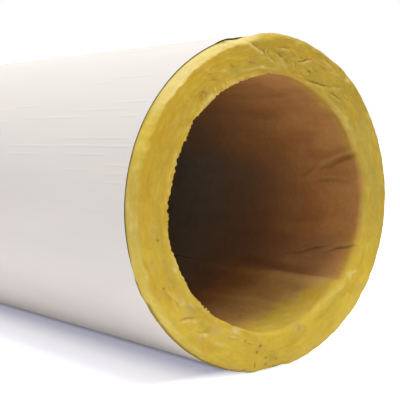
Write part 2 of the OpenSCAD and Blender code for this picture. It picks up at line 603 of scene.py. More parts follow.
class FinishNodes:
    """Adds the nodes of one material and joins them."""

    def __init__(self, name: str, specular: float) -> None:
        """Starts a material with one shader.

        Args:
            name: Name of the material.
            specular: Strength of its gloss.
        """
        self.material = bpy.data.materials.new(name)
        self.material.use_nodes = True
        self.tree = self.material.node_tree
        self.shader = self.tree.nodes["Principled BSDF"]
        self.shader.inputs["Specular IOR Level"].default_value = specular

    def add(self, kind: str, **values: object) -> bpy.types.Node:
        """Adds a node.

        Args:
            kind: The node's type.
            **values: Its sockets' values, with _ in place of a blank.

        Returns:
            The node.
        """
        node = self.tree.nodes.new(kind)
        for name, value in values.items():
            node.inputs[name.replace("_", " ")].default_value = value
        return node

    def join(self, source: Socket, target: Socket) -> None:
        """Joins two sockets."""
        self.tree.links.new(source, target)

    def value(self, name: str, output: str = "Fac") -> Socket:
        """Reads one of the mesh's own attributes.

        Args:
            name: Name of the attribute.
            output: Which of the node's outputs to take.

        Returns:
            The output socket.
        """
        node = self.add("ShaderNodeAttribute")
        node.attribute_name = name
        return node.outputs[output]

    def place(self) -> Socket:
        """Reads the place on the object, in metres."""
        return self.add("ShaderNodeTexCoord").outputs["Object"]

    def operate(self, kind: str, operation: str, inputs: dict[int | str, Socket | Triple]) -> Socket:
        """Adds a node that works out one operation.

        Args:
            kind: The node's type.
            operation: Blender's name of the operation.
            inputs: What goes into each of its sockets: another socket, or a fixed vector.

        Returns:
            The result.
        """
        node = self.add(kind)
        node.operation = operation
        for key, value in inputs.items():
            if isinstance(value, tuple):
                node.inputs[key].default_value = value
            else:
                self.join(value, node.inputs[key])
        return node.outputs[0]

    def stretch(self, vector: Socket, scale: Triple) -> Socket:
        """Scales a vector by a factor for each axis."""
        return self.operate("ShaderNodeVectorMath", "MULTIPLY", {0: vector, 1: scale})

    def product(self, first: Socket, second: Socket) -> Socket:
        """Multiplies two values."""
        return self.operate("ShaderNodeMath", "MULTIPLY", {0: first, 1: second})

    def scale_colour(self, colour: Socket, factor: Socket) -> Socket:
        """Makes a colour lighter or darker."""
        return self.operate("ShaderNodeVectorMath", "SCALE", {0: colour, "Scale": factor})

    def noise(self, vector: Socket, scale: float, detail: float = 3.0, twist: float = 0.0) -> Socket:
        """Adds a noise texture.

        Args:
            vector: Where to look it up.
            scale: Cells in a unit of that vector.
            detail: Octaves of finer noise.
            twist: How far the noise bends itself.

        Returns:
            The noise, from 0 to 1.
        """
        node = self.add("ShaderNodeTexNoise", Scale=scale, Detail=detail, Distortion=twist)
        self.join(vector, node.inputs["Vector"])
        return node.outputs["Fac"]

    def span(self, value: Socket, source: Pair, target: Pair = (0.0, 1.0)) -> Socket:
        """Maps one range of values onto another.

        Args:
            value: The value.
            source: The range it is taken from.
            target: The range it is mapped to.

        Returns:
            The mapped value.
        """
        node = self.add("ShaderNodeMapRange", From_Min=source[0], From_Max=source[1],
                        To_Min=target[0], To_Max=target[1])
        self.join(value, node.inputs["Value"])
        return node.outputs["Result"]

    def mix(self, share: Socket, low: Socket | Colour, high: Socket | Colour) -> Socket:
        """Mixes two colours.

        Args:
            share: How much of the second colour is taken.
            low: The first colour, or a socket that gives it.
            high: The second colour, or a socket that gives it.

        Returns:
            The mixed colour.
        """
        node = self.add("ShaderNodeMix")
        node.data_type = "RGBA"
        self.join(share, node.inputs[0])
        for colour, socket in ((low, node.inputs[6]), (high, node.inputs[7])):
            if isinstance(colour, tuple):
                socket.default_value = (*colour, 1.0)
            else:
                self.join(colour, socket)
        return node.outputs[2]

    def bump(self, height: Socket, distance: float, strength: float,
             under: Socket | None = None) -> Socket:
        """Turns a height into a slope of the surface.

        Args:
            height: The height, from 0 to 1.
            distance: Size of the full height.
            strength: How much of the slope shows.
            under: A slope that this one is added to.

        Returns:
            The surface's normal.
        """
        node = self.add("ShaderNodeBump", Distance=distance, Strength=strength)
        self.join(height, node.inputs["Height"])
        if under is not None:
            self.join(under, node.inputs["Normal"])
        return node.outputs["Normal"]

    def settle(self, colour: Socket, roughness: Socket, normal: Socket) -> Material:
        """Joins the finished parts to the shader.

        Args:
            colour: The surface's colour.
            roughness: The surface's roughness.
            normal: The surface's normal.

        Returns:
            The material.
        """
        for name, socket in (("Base Color", colour), ("Roughness", roughness), ("Normal", normal)):
            self.join(socket, self.shader.inputs[name])
        return self.material


@dataclass(frozen=True)
class WoolFinish:
    """Cut glass wool on the ends, and its browner skin in the bore.

    Attributes:
        gold: Plain cut wool.
        straw: Wool on the bare band.
        pale: The palest wool, where the band was pulled, and as painted highlight on crests of folds.
        lemon: Brighter wool low on the front end.
        olive: Greener wool on the side of +Y.
        torn: Wool where the end was torn.
        dull: Duller wool, in mottling and stains, and as painted shade on the shaded sectors and on the outer
            edge where it turns away.
        amber: Wool with more binder.
        rose: Greyish pink marks.
        groove: Painted shade in the bottom of folds, on the outer edge where it turns away, and in the gap
            beside the jacket.
        skin: The skin of the bore.
        deep_skin: The darker parts of that skin.
        tan_skin: The thin skin below the slit, also laid as painted highlight on the lips of the bore's
            creases.
        dim_skin: Painted shade on the skin, deeper in the bore and over the slit.
        grey_skin: The greyer skin far inside the bore.
        pit: Holes, scorched specks and darker patches, and painted shade in the bore's creases.
        streak_scale: Cells of the fine streaks in a metre round, across and along the unrolled wool.
        stroke_scale: The same of the broader strokes.
        cloud_scale: The same of the soft clouds.
        clump_scale: Cells of the clumps in a metre.
        fleck_scale: Cells of the flecks in a metre.
    """

    gold: Colour = (0.63, 0.40, 0.034)
    straw: Colour = (0.67, 0.50, 0.10)
    pale: Colour = (0.90, 0.73, 0.27)
    lemon: Colour = (0.76, 0.55, 0.065)
    olive: Colour = (0.51, 0.367, 0.063)
    torn: Colour = (0.51, 0.337, 0.042)
    dull: Colour = (0.48, 0.34, 0.055)
    amber: Colour = (0.63, 0.35, 0.028)
    rose: Colour = (0.68, 0.46, 0.15)
    groove: Colour = (0.30, 0.18, 0.03)
    skin: Colour = (0.62, 0.305, 0.10)
    deep_skin: Colour = (0.52, 0.235, 0.074)
    tan_skin: Colour = (0.66, 0.41, 0.13)
    dim_skin: Colour = (0.30, 0.18, 0.10)
    grey_skin: Colour = (0.38, 0.345, 0.275)
    pit: Colour = (0.16, 0.09, 0.02)
    streak_scale: Triple = (90.0, 900.0, 500.0)
    stroke_scale: Triple = (110.0, 230.0, 200.0)
    cloud_scale: Triple = (55.0, 55.0, 40.0)
    clump_scale: float = 210.0
    fleck_scale: float = 900.0

    def material(self) -> Material:
        """Makes the material.

        Returns:
            The material, which takes its zones from the mesh's tint and unrolled attributes.
        """
        nodes = FinishNodes("cut_glass_wool", specular=0.10)
        unrolled = nodes.value("unrolled", "Vector")
        skinned = nodes.value("skinned")
        place = nodes.place()
        streaks = nodes.noise(nodes.stretch(unrolled, self.streak_scale), 1.0, 4.0, 0.6)
        strokes = nodes.noise(nodes.stretch(unrolled, self.stroke_scale), 1.0, 3.0, 1.2)
        clouds = nodes.noise(nodes.stretch(unrolled, self.cloud_scale), 1.0, 3.0, 0.5)
        clumps = nodes.noise(place, self.clump_scale, 4.0, 1.2)
        flecks = nodes.noise(place, self.fleck_scale, 3.0, 0.8)
        tint = nodes.value("tint", "Color")
        streaked = nodes.scale_colour(tint, nodes.span(streaks, (0.25, 0.75), (0.95, 1.045)))
        streaked = nodes.mix(nodes.span(strokes, (0.54, 0.72), (0.0, 0.12)), streaked, self.pale)
        streaked = nodes.mix(nodes.span(strokes, (0.46, 0.28), (0.0, 0.15)), streaked, self.dull)
        mottled = nodes.scale_colour(tint, nodes.span(clumps, (0.3, 0.7), (0.93, 1.07)))
        tint = nodes.mix(skinned, streaked, mottled)
        tint = nodes.scale_colour(tint, nodes.span(flecks, (0.25, 0.75), (0.965, 1.03)))
        tint = nodes.scale_colour(tint, nodes.span(clouds, (0.3, 0.7), (0.94, 1.05)))
        roughness = nodes.span(clumps, (0.2, 0.8), (0.78, 0.96))
        plain = nodes.span(skinned, (0.0, 1.0), (1.0, 0.25))
        soft_height = nodes.product(streaks, plain)
        normal = nodes.bump(clumps, 0.5 * MM, 0.25)
        normal = nodes.bump(soft_height, 0.4 * MM, 0.22, normal)
        normal = nodes.bump(flecks, 0.2 * MM, 0.22, normal)
        return nodes.settle(tint, roughness, normal)


@dataclass(frozen=True)
class FibreFinish:
    """Loose glass fibres.

    Attributes:
        dark: The duller fibres.
        light: The palest fibres.
    """

    dark: Colour = (0.66, 0.44, 0.05)
    light: Colour = (0.84, 0.66, 0.20)

    def material(self) -> Material:
        """Makes the material.

        Returns:
            The material, which takes each fibre's shade from the mesh.
        """
        nodes = FinishNodes("loose_glass_fibres", specular=0.3)
        along = nodes.noise(nodes.place(), 1500.0, 2.0)
        colour = nodes.mix(nodes.value("shade"), self.dark, self.light)
        colour = nodes.scale_colour(colour, nodes.span(along, (0.25, 0.75), (0.90, 1.08)))
        roughness = nodes.span(along, (0.2, 0.8), (0.5, 0.75))
        normal = nodes.bump(along, 0.03 * MM, 0.2)
        return nodes.settle(colour, roughness, normal)


@dataclass(frozen=True)
class PaperFinish:
    """White jacket paper with faint lengthwise streaks.

    Attributes:
        white: The plain paper.
        shade: Its faint streaks and clouds.
        soil: Painted shade below its creases.
        clean: Painted highlight on the upper side of a crease.
        streak_scale: Cells of the streaks in a metre round, across and along the unrolled sheet.
        cloud_scale: The same of the clouds.
        grain_scale: Cells of the paper's grain in a metre.
    """

    white: Colour = (0.859, 0.798, 0.740)
    shade: Colour = (0.77, 0.73, 0.68)
    soil: Colour = (0.55, 0.51, 0.45)
    clean: Colour = (0.92, 0.87, 0.82)
    streak_scale: Triple = (620.0, 1.0, 9.0)
    cloud_scale: Triple = (30.0, 1.0, 6.0)
    grain_scale: float = 1400.0

    def material(self) -> Material:
        """Makes the material.

        Returns:
            The material of the jacket's outer side.
        """
        nodes = FinishNodes("jacket_paper", specular=0.25)
        unrolled = nodes.value("unrolled", "Vector")
        streaks = nodes.noise(nodes.stretch(unrolled, self.streak_scale), 1.0, 3.0, 0.1)
        clouds = nodes.noise(nodes.stretch(unrolled, self.cloud_scale), 1.0, 3.0, 0.4)
        grain = nodes.noise(nodes.place(), self.grain_scale, 3.0)
        colour = nodes.mix(nodes.span(clouds, (0.35, 0.75), (0.0, 0.4)), self.white, self.shade)
        colour = nodes.mix(nodes.span(streaks, (0.56, 0.78), (0.0, 0.30)), colour, self.shade)
        # Painted shade below the creases and painted highlight above them.
        creased = nodes.value("creased")
        colour = nodes.mix(nodes.span(creased, (0.0, 1.0), (0.0, 0.15)), colour, self.soil)
        colour = nodes.mix(nodes.span(creased, (-1.0, 0.0), (0.9, 0.0)), colour, self.clean)
        colour = nodes.scale_colour(colour, nodes.span(grain, (0.25, 0.75), (0.992, 1.007)))
        roughness = nodes.span(clouds, (0.2, 0.8), (0.55, 0.70))
        normal = nodes.bump(streaks, 0.08 * MM, 0.25)
        normal = nodes.bump(grain, 0.03 * MM, 0.2, normal)
        return nodes.settle(colour, roughness, normal)


@dataclass(frozen=True)
class LaminateFinish:
    """The cut edge and the inside of the jacket: brown kraft paper on dull foil.

    Attributes:
        kraft: The brown paper.
        foil: The dull foil.
    """

    kraft: Colour = (0.10, 0.060, 0.022)
    foil: Colour = (0.17, 0.12, 0.055)

    def material(self) -> Material:
        """Makes the material.

        Returns:
            The material of the jacket's edges and inner side.
        """
        nodes = FinishNodes("jacket_laminate", specular=0.05)
        grain = nodes.noise(nodes.place(), 700.0, 4.0, 0.5)
        colour = nodes.mix(nodes.span(grain, (0.35, 0.7)), self.kraft, self.foil)
        roughness = nodes.span(grain, (0.2, 0.8), (0.6, 0.8))
        normal = nodes.bump(grain, 0.05 * MM, 0.3)
        return nodes.settle(colour, roughness, normal)


@dataclass(frozen=True)
class FloorFinish:
    """A plain white floor that keeps the sleeve's shadow.

    The lifts are light that only the background's own view takes, so that the floor reads as white.

    Attributes:
        white: Colour of the floor.
        cloud: Colour of its faint clouds.
        near_lift: The lift beside the sleeve, which shows in its shadow.
        contact_from: How far along Y from the sleeve's middle that lift starts and where it is full.
        far_lift: The lift further away.
        front_lift: The lift before the front end, on the side of +Y.
        far_from: How far along Y from the sleeve's middle the far lift starts and where it is full.
        front_from_y: Where along Y the front lift starts and where it is full.
        front_from_x: Where along X the front lift starts and where it is full.
        ahead_from: How far along X from the middle it starts at both ends, and where it is full.
    """

    white: Colour = (0.92, 0.92, 0.95)
    cloud: Colour = (0.9062, 0.9062, 0.93575)
    near_lift: Colour = (0.26, 0.263, 0.345)
    contact_from: Pair = (0.015, 0.027)
    far_lift: Colour = (0.45, 0.453, 0.49)
    front_lift: Colour = (0.85, 0.85, 0.86)
    far_from: Pair = (0.035, 0.066)
    front_from_y: Pair = (-0.008, 0.015)
    front_from_x: Pair = (0.34, 0.42)
    ahead_from: Pair = (0.434, 0.453)

    def material(self) -> Material:
        """Makes the material.

        Returns:
            The floor's material.
        """
        nodes = FinishNodes("white_floor", specular=0.0)
        place = nodes.place()
        colour = nodes.mix(nodes.noise(place, 3.0, 2.0), self.white, self.cloud)
        nodes.join(colour, nodes.shader.inputs["Base Color"])
        nodes.shader.inputs["Roughness"].default_value = 0.9
        axes = nodes.add("ShaderNodeSeparateXYZ")
        nodes.join(place, axes.inputs[0])
        along = nodes.operate("ShaderNodeMath", "ABSOLUTE", {0: axes.outputs["X"]})
        off_middle = nodes.operate("ShaderNodeMath", "ABSOLUTE", {0: axes.outputs["Y"]})
        near = nodes.span(off_middle, self.contact_from)
        far = nodes.span(off_middle, self.far_from)
        beside = nodes.span(axes.outputs["Y"], self.front_from_y)
        before = nodes.span(axes.outputs["X"], self.front_from_x)
        ahead = nodes.span(along, self.ahead_from)
        lift = nodes.mix(near, (0.0, 0.0, 0.0), self.near_lift)
        lift = nodes.mix(far, lift, self.far_lift)
        lift = nodes.mix(nodes.product(beside, before), lift, self.front_lift)
        lift = nodes.mix(ahead, lift, self.front_lift)
        glow = nodes.add("ShaderNodeEmission")
        nodes.join(lift, glow.inputs["Color"])
        nodes.join(seen_as_background(nodes.tree), glow.inputs["Strength"])
        both = nodes.add("ShaderNodeAddShader")
        nodes.join(nodes.shader.outputs[0], both.inputs[0])
        nodes.join(glow.outputs[0], both.inputs[1])
        nodes.join(both.outputs[0], nodes.tree.nodes["Material Output"].inputs["Surface"])
        return nodes.material


def seen_as_background(tree: bpy.types.NodeTree) -> Socket:
    """Tells rays that show the background from rays that light the sleeve.

    Args:
        tree: The node tree that gets the nodes.

    Returns:
        1 for a camera, glossy or transmission ray, and 0 for another.
    """
    path = tree.nodes.new("ShaderNodeLightPath")
    total = path.outputs["Is Camera Ray"]
    for name in ("Is Glossy Ray", "Is Transmission Ray"):
        adder = tree.nodes.new("ShaderNodeMath")
        adder.operation = "MAXIMUM"
        tree.links.new(total, adder.inputs[0])
        tree.links.new(path.outputs[name], adder.inputs[1])
        total = adder.outputs[0]
    return total


def grid_faces(count: int, wide: int, start: int = 0, flip: bool = False) -> Faces:
    """Joins rows of points into faces of four corners.

    Args:
        count: How many rows there are.
        wide: Points in a row.
        start: Number of the first point.
        flip: Whether the faces look the other way.

    Returns:
        The faces, as lists of point numbers.
    """
    second, fourth = (wide, 1) if flip else (1, wide)
    corners = [start + row * wide + step for row in range(count - 1) for step in range(wide - 1)]
    return [[corner, corner + second, corner + wide + 1, corner + fourth] for corner in corners]


def mesh_piece(name: str, points: Array, faces: Faces, materials: list[Material]) -> Piece:
    """Makes a smooth mesh object and links it to the scene.

    Args:
        name: Name of the piece.
        points: Its points, one row of three each.
        faces: Its faces, as lists of point numbers.
        materials: Its materials.

    Returns:
        The object.
    """
    mesh = bpy.data.meshes.new(name)
    mesh.from_pydata(points.tolist(), [], faces)
    mesh.update()
    mesh.polygons.foreach_set("use_smooth", np.ones(len(mesh.polygons), dtype=bool))
    for material in materials:
        mesh.materials.append(material)
    piece = bpy.data.objects.new(name, mesh)
    bpy.context.scene.collection.objects.link(piece)
    return piece


def store_values(piece: Piece, name: str, values: Array) -> None:
    """Stores a number, a vector or a colour on each point of a mesh.

    Args:
        piece: The object.
        name: Name of the attribute.
        values: One number a point, or one row of three, or of four for a colour.
    """
    kinds = {1: ("FLOAT", "value"), 3: ("FLOAT_VECTOR", "vector"), 4: ("FLOAT_COLOR", "color")}
    columns = 1 if values.ndim == 1 else values.shape[1]
    kind, key = kinds[columns]
    attribute = piece.data.attributes.new(name, kind, "POINT")
    attribute.data.foreach_set(key, np.ascontiguousarray(values, dtype=np.float32).ravel())


@dataclass(frozen=True)
class LatheRing:
    """One ring of points on the wool.

    Attributes:
        zone: The stretch of the profile that it lies on.
        end: The end of the sleeve that it belongs to.
        share: How far along that stretch it lies, towards the bore, from 0 to 1.
        spans: How many spans it has from lip to lip of the slit.
    """

    zone: Zone
    end: End
    share: float
    spans: int


@dataclass(frozen=True)
class RingPlan:
    """How the rings of one half of the sleeve are spread over its profile.

    Attributes:
        spans: Spans round the cut face.
        coarse: The first rings outside: each one's share of the way to the end, and the divisor of its spans.
        edge: Rings on the rounded outer edge.
        face: Steps across the cut face.
        lip: Steps round the bore's edge.
        creased: Rings on the creased start of the bore.
        plain: Rings on the bore behind it.
        far: Rings on the bore from there to the sleeve's middle.
    """

    CLOSE = (0.975, 0.988, 0.9935, 0.997, 1.0)
    CREASED_TO = 0.15
    CREASED_POWER = 1.25
    PLAIN_TO = 0.55
    PLAIN_POWER = 1.4
    FAR_SPANS = 230

    spans: int
    coarse: tuple[tuple[float, int], ...]
    edge: int
    face: int
    lip: int
    creased: int
    plain: int
    far: int

    def rings(self, end: End) -> list[LatheRing]:
        """Lists the rings from the middle outside to the middle of the bore.

        Args:
            end: The end of this half.

        Returns:
            The rings, in order. Each has as many spans as the one before, or twice or half as many.
        """
        full = self.spans
        outside = [(share, full // divisor) for share, divisor in self.coarse]
        start = self.CREASED_TO if self.creased else 0.0
        bore = []
        for low, high, steps, power, spans in (
            (0.0, start, self.creased, self.CREASED_POWER, full),
            (start, self.PLAIN_TO, self.plain, self.PLAIN_POWER, full // 2),
            (self.PLAIN_TO, 1.0, self.far, 1.0, self.FAR_SPANS),
        ):
            bore += [(low + (high - low) * (step / steps) ** power, spans) for step in range(1, steps + 1)]
        stretches = {
            Zone.OUTSIDE: outside + [(share, full) for share in self.CLOSE],
            Zone.EDGE: [(step / self.edge, full) for step in range(1, self.edge + 1)],
            Zone.FACE: [(step / self.face, full) for step in range(1, self.face)],
            Zone.LIP: [(step / self.lip, full) for step in range(self.lip + 1)],
            Zone.BORE: bore,
        }
        return [LatheRing(zone, end, *place) for zone, places in stretches.items() for place in places]


@dataclass
class WoolSkin:
    """The points of the wool before and while they are shaped, one number a point.

    Attributes:
        front: 1 on the front end's half and 0 on the back end's.
        turn: Way round the sleeve from the slit, from 0 to 1.
        angle: Angle round the sleeve, in radians.
        radius: Distance from the axis.
        depth: Distance behind the end face.
        facing: How far the surface faces along the sleeve, from 0 to 1.
        inward: How far it faces the axis, from 0 to 1.
        outward: How far it faces away from the axis, from 0 to 1.
    """

    front: Array
    turn: Array
    angle: Array
    radius: Array
    depth: Array
    facing: Array
    inward: Array
    outward: Array

    def at(self, part: Sector) -> Array:
        """How far each point lies in a sector of the front end, from 0 to 1."""
        return part.share(self.angle, self.front)


@dataclass
class WoolSleeve:
    """The moulded wool: a thick tube, slit along one side, with cut ends and a skinned bore.

    Attributes:
        sizes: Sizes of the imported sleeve.
        finish: The wool's finish.
        edge_depth: How far behind the cut face its rounded outer edge starts.
        edge_drop: How far inside the wool's round the cut face's outer edge lies.
        edge_wave: How much that drop varies round the sleeve, as a share of it.
        bevel_depth: The edge's depth where the jacket pressed it into a bevel.
        bevel_drop: The edge's drop there.
        round_power: Power of the curve that rounds the edge.
        bevel_power: The same power at the bevel, where the curve is flatter.
        sharp_lip: Rounding of the bore's edge where the knife cut cleanly.
        soft_lip: Rounding of the bore's edge where the wool was pressed.
        lip_step: How far the slit's lower lip stands into the bore at the front.
        lip_spread: How far from the slit that lip fades, in degrees.
        lip_run: How far into the bore it fades.
        shut_slit: Width of the slit at the ends, where its lips meet.
        open_slit: Width of the slit further inside, where its lips nearly meet.
        slit_opens: How far behind the ends the slit starts to open, and where it is open.
        torn_border: Width of the torn part's border, in degrees.
        torn_from: Where the torn part starts on the side of +Y and where it is full, in degrees.
        fold_depth: How much deeper the front end's folds are than their table says.
        pit_depth: Depth of the front end's pits.
        wobble: How far the folds wander off their lines.
        wobble_size: Size of the cells in which they wander.
        sharp_angle: Angle in degrees over which two faces meet in a sharp edge.
        front_plan: The rings of the front half.
        back_plan: The rings of the back half.
        noise: The noise that shapes the wool.
    """

    sizes: SleeveSizes
    finish: WoolFinish = WoolFinish()
    edge_depth: float = 5.0 * MM
    edge_drop: float = 4.0 * MM
    edge_wave: float = 0.25
    bevel_depth: float = 7.8 * MM
    bevel_drop: float = 4.8 * MM
    round_power: float = 2.0
    bevel_power: float = 1.3
    sharp_lip: float = 1.2 * MM
    soft_lip: float = 4.2 * MM
    lip_step: float = 2.6 * MM
    lip_spread: float = 26.0
    lip_run: float = 190.0 * MM
    shut_slit: float = 0.04 * MM
    open_slit: float = 0.3 * MM
    slit_opens: Pair = (2.0 * MM, 22.0 * MM)
    torn_border: float = 2.4
    torn_from: Pair = (14.0, 46.0)
    fold_depth: float = 1.3
    pit_depth: float = 1.2 * MM
    wobble: float = 0.55 * MM
    wobble_size: float = 4.5 * MM
    sharp_angle: float = 65.0
    front_plan: RingPlan = RingPlan(920, ((0.0, 8), (0.45, 4), (0.85, 2)), 7, 31, 5, 26, 14, 12)
    back_plan: RingPlan = RingPlan(460, ((0.45, 4), (0.85, 2)), 5, 13, 4, 0, 16, 6)
    noise: FibreNoise = field(default_factory=lambda: FibreNoise(11))

    def loop(self) -> list[LatheRing]:
        """Joins both halves' rings into one closed loop. They share the ring in the middle of the bore."""
        return self.front_plan.rings(End.FRONT) + self.back_plan.rings(End.BACK)[-2::-1]

    def lip_size(self, angle: Array, front: Array) -> Array:
        """Rounding of the bore's edge at each angle, in radians."""
        return self.sharp_lip + (self.soft_lip - self.sharp_lip) * Sector.PRESSED_LIP.share(angle, front)

    def swell(self, angle: Array, front: Array) -> Array:
        """How far the wool's outer edge stands past its round, where the jacket doesn't hold it."""
        return sum(height * MM * part.share(angle, front) for part, height in SWELLS)

    def bore_arc(self, skin: WoolSkin) -> Array:
        """Measures round the bore from the slit."""
        return skin.turn * 2 * math.pi * self.sizes.bore_radius

    def bore_round(self, skin: WoolSkin) -> Array:
        """Measures round the bore from +Y, to half a turn either way."""
        return half_turn(skin.angle) * self.sizes.bore_radius

    def ring_points(self, ring: LatheRing) -> WoolSkin:
        """Places one ring's points on the plain profile.

        Args:
            ring: The ring.

        Returns:
            Its points.
        """
        sizes = self.sizes
        turn = np.linspace(0.0, 1.0, ring.spans + 1)
        behind = {Zone.OUTSIDE: 1.0 - ring.share, Zone.BORE: ring.share}.get(ring.zone, 0.0)
        opened = ease(*self.slit_opens, np.array(behind * sizes.half_length))
        gap = (self.shut_slit + (self.open_slit - self.shut_slit) * opened) / 2 / sizes.wool_radius
        angle = math.radians(sizes.slit_angle) + gap + turn * (2 * math.pi - 2 * gap)
        front = np.full(turn.shape, ring.end.front)
        lip = self.lip_size(angle, front)
        bevel = Sector.BEVEL.share(angle, front)
        wavy = self.noise.fractal(rows(angle * sizes.wool_radius / (10 * MM), 50.0 * front, 0.0), 3, 0.6)
        edge = self.edge_depth + (self.bevel_depth - self.edge_depth) * bevel
        drop = self.edge_drop + (self.bevel_drop - self.edge_drop) * bevel
        drop = drop * (1.0 + self.edge_wave * wavy)
        swell = self.swell(angle, front)
        outer = sizes.wool_radius + swell - sizes.pressed_in(angle, 0.0, front)
        quarter = ring.share * math.pi / 2
        if ring.zone is Zone.OUTSIDE:
            depth = sizes.half_length - ring.share * (sizes.half_length - edge)
            free = ease(sizes.bare, sizes.bare - 3.0 * MM, depth)
            radius = sizes.wool_radius + swell * free - sizes.pressed_in(angle, depth, front)
            lean = math.pi / 2
        elif ring.zone is Zone.EDGE:
            power = self.round_power + (self.bevel_power - self.round_power) * bevel
            reach = max(math.sin(quarter), 1e-9) ** (2.0 / power)
            rise = max(math.cos(quarter), 1e-9) ** (2.0 / power)
            depth = edge * (1.0 - reach)
            radius = outer - drop * (1.0 - rise)
            lean = np.arctan2(rise ** (power - 1.0) / drop, reach ** (power - 1.0) / edge)
        elif ring.zone is Zone.FACE:
            depth = 0.0
            radius = (outer - drop) + (sizes.bore_radius + lip - outer + drop) * ring.share
            lean = 0.0
        elif ring.zone is Zone.LIP:
            depth = lip * (1.0 - math.cos(quarter))
            radius = sizes.bore_radius + lip * (1.0 - math.sin(quarter))
            lean = -quarter
        else:
            depth = lip + (sizes.half_length - lip) * ring.share
            radius = sizes.bore_radius
            lean = -math.pi / 2
        radius, depth, lean, turn = np.broadcast_arrays(radius, depth, lean, turn)
        return WoolSkin(
            front=front, turn=turn, angle=angle, radius=radius, depth=depth,
            facing=np.cos(lean) ** 2,
            inward=np.maximum(0.0, -np.sin(lean)) ** 2,
            outward=np.maximum(0.0, np.sin(lean)) ** 2,
        )

    def face_relief(self, angle: Array, radius: Array, front: Array) -> Array:
        """How far the cut end stands out along the sleeve.

        Args:
            angle: Angles, in radians.
            radius: Distances from the axis.
            front: 1 on the front end and 0 on the back end.

        Returns:
            The height at each place.
        """
        across, height = across_up(radius, angle)
        arc = (angle - angle.min()) * self.sizes.bore_radius
        side = end_shift(front)
        flat = rows(across, height, 0.0)
        shift = side[..., None]
        bend = self.noise.fractal(flat / (16 * MM) + shift + 5.0, 2) * 6.0 * MM
        rolled = self.noise.ridges(rows((arc + bend) / (17 * MM), (radius + bend) / (7 * MM), side), 2) - 0.6
        lumps = self.noise.fractal(flat / (9 * MM) + shift + 9.0, 3)
        crumbs = self.noise.fractal(flat / (2.6 * MM) + shift + 3.0, 2)
        streaks = self.noise.fractal(rows(arc / (18 * MM), radius / (2.2 * MM), side), 2)
        border = np.interp(self.sizes.wall_share(radius), *np.array(TORN_EDGE).T)
        place = np.degrees(angle)
        torn = ease(0.0, self.torn_border, border - place) * ease(*self.torn_from, place) * front
        relief = (0.35 * lumps + 0.06 * crumbs + 0.14 * streaks) * MM
        relief += torn * (0.8 * rolled + 0.06 * crumbs - 0.7) * MM
        relief += Sector.SWIRLED_FACE.share(angle, front) * (0.45 * rolled + 0.06 * crumbs) * MM
        relief += Sector.PITTED_FACE.share(angle, front) * 0.08 * crumbs * MM
        bent_across, bent_height = self.wobbled(across, height)
        for fold in FRONT_FOLDS:
            relief += self.fold_depth * front * fold.relief(self.face_path(fold), bent_across, bent_height)
        for place in FRONT_MARKS[Stain.PIT]:
            relief -= self.pit_depth * front * self.mark_share(Mark(*place), angle, radius)
        return relief

    def wobbled(self, across: Array, height: Array) -> tuple[Array, Array]:
        """Bends places of the front end a little, so that its folds don't run smoothly."""
        cells = rows(across, height, 0.0) / self.wobble_size
        return tuple(place + self.wobble * self.noise.fractal(cells + shift, 2)
                     for place, shift in ((across, 60.0), (height, 75.0)))

    def face_path(self, fold: Crease) -> Array:
        """Lays a fold of the front end out in metres, across and up from the axis."""
        angles, shares = np.array(fold.points, dtype=float).T
        return rows(*across_up(self.sizes.radius_at(shares), np.radians(angles)))

    def mark_share(self, mark: Mark, angle: Array, radius: Array) -> Array:
        """How much of a mark shows at each place of an end.

        Args:
            mark: The mark.
            angle: Angles, in radians.
            radius: Distances from the axis.

        Returns:
            1 in the mark's middle, falling to 0 outside it.
        """
        middle = self.sizes.radius_at(mark.share)
        size = mark.size * MM
        along = half_turn(angle - math.radians(mark.angle)) * middle / (size * mark.stretch)
        return np.exp(-(along**2) - ((radius - middle) / size) ** 2)

    def bore_path(self, crease: Crease) -> Array:
        """Lays a crease of the bore out in metres, round and along the unrolled bore."""
        angles, depths = np.array(crease.points, dtype=float).T
        return rows(np.radians(angles) * self.sizes.bore_radius, depths)

    def bore_relief(self, skin: WoolSkin) -> Array:
        """How far the bore's skin stands towards the axis.

        Args:
            skin: The wool's points.

        Returns:
            The height at each point.
        """
        arc, side = self.bore_arc(skin), end_shift(skin.front)
        wide = rows(arc / (48 * MM), skin.depth / (85 * MM), side)
        small = rows(arc / (13 * MM), skin.depth / (30 * MM), side + 7.0)
        relief = 0.9 * MM * self.noise.fractal(wide, 2) + 0.22 * MM * self.noise.fractal(small, 2)
        relief *= ease(0.0, 12.0 * MM, skin.depth)
        round_bore = self.bore_round(skin)
        for crease in BORE_CREASES:
            relief += skin.front * crease.relief(self.bore_path(crease), round_bore, skin.depth)
        return relief

    def lower_lip(self, skin: WoolSkin) -> Array:
        """How far the slit's lower lip has sprung into the bore at the front.

        Args:
            skin: The wool's points.

        Returns:
            The height at each point.
        """
        below = (1.0 - skin.turn) * 360.0
        near = bell(below / self.lip_spread) * ease(self.lip_run, 0.0, skin.depth)
        inner = ease(self.sizes.wool_radius - self.edge_drop, self.sizes.bore_radius, skin.radius)
        return self.lip_step * near * inner * skin.front

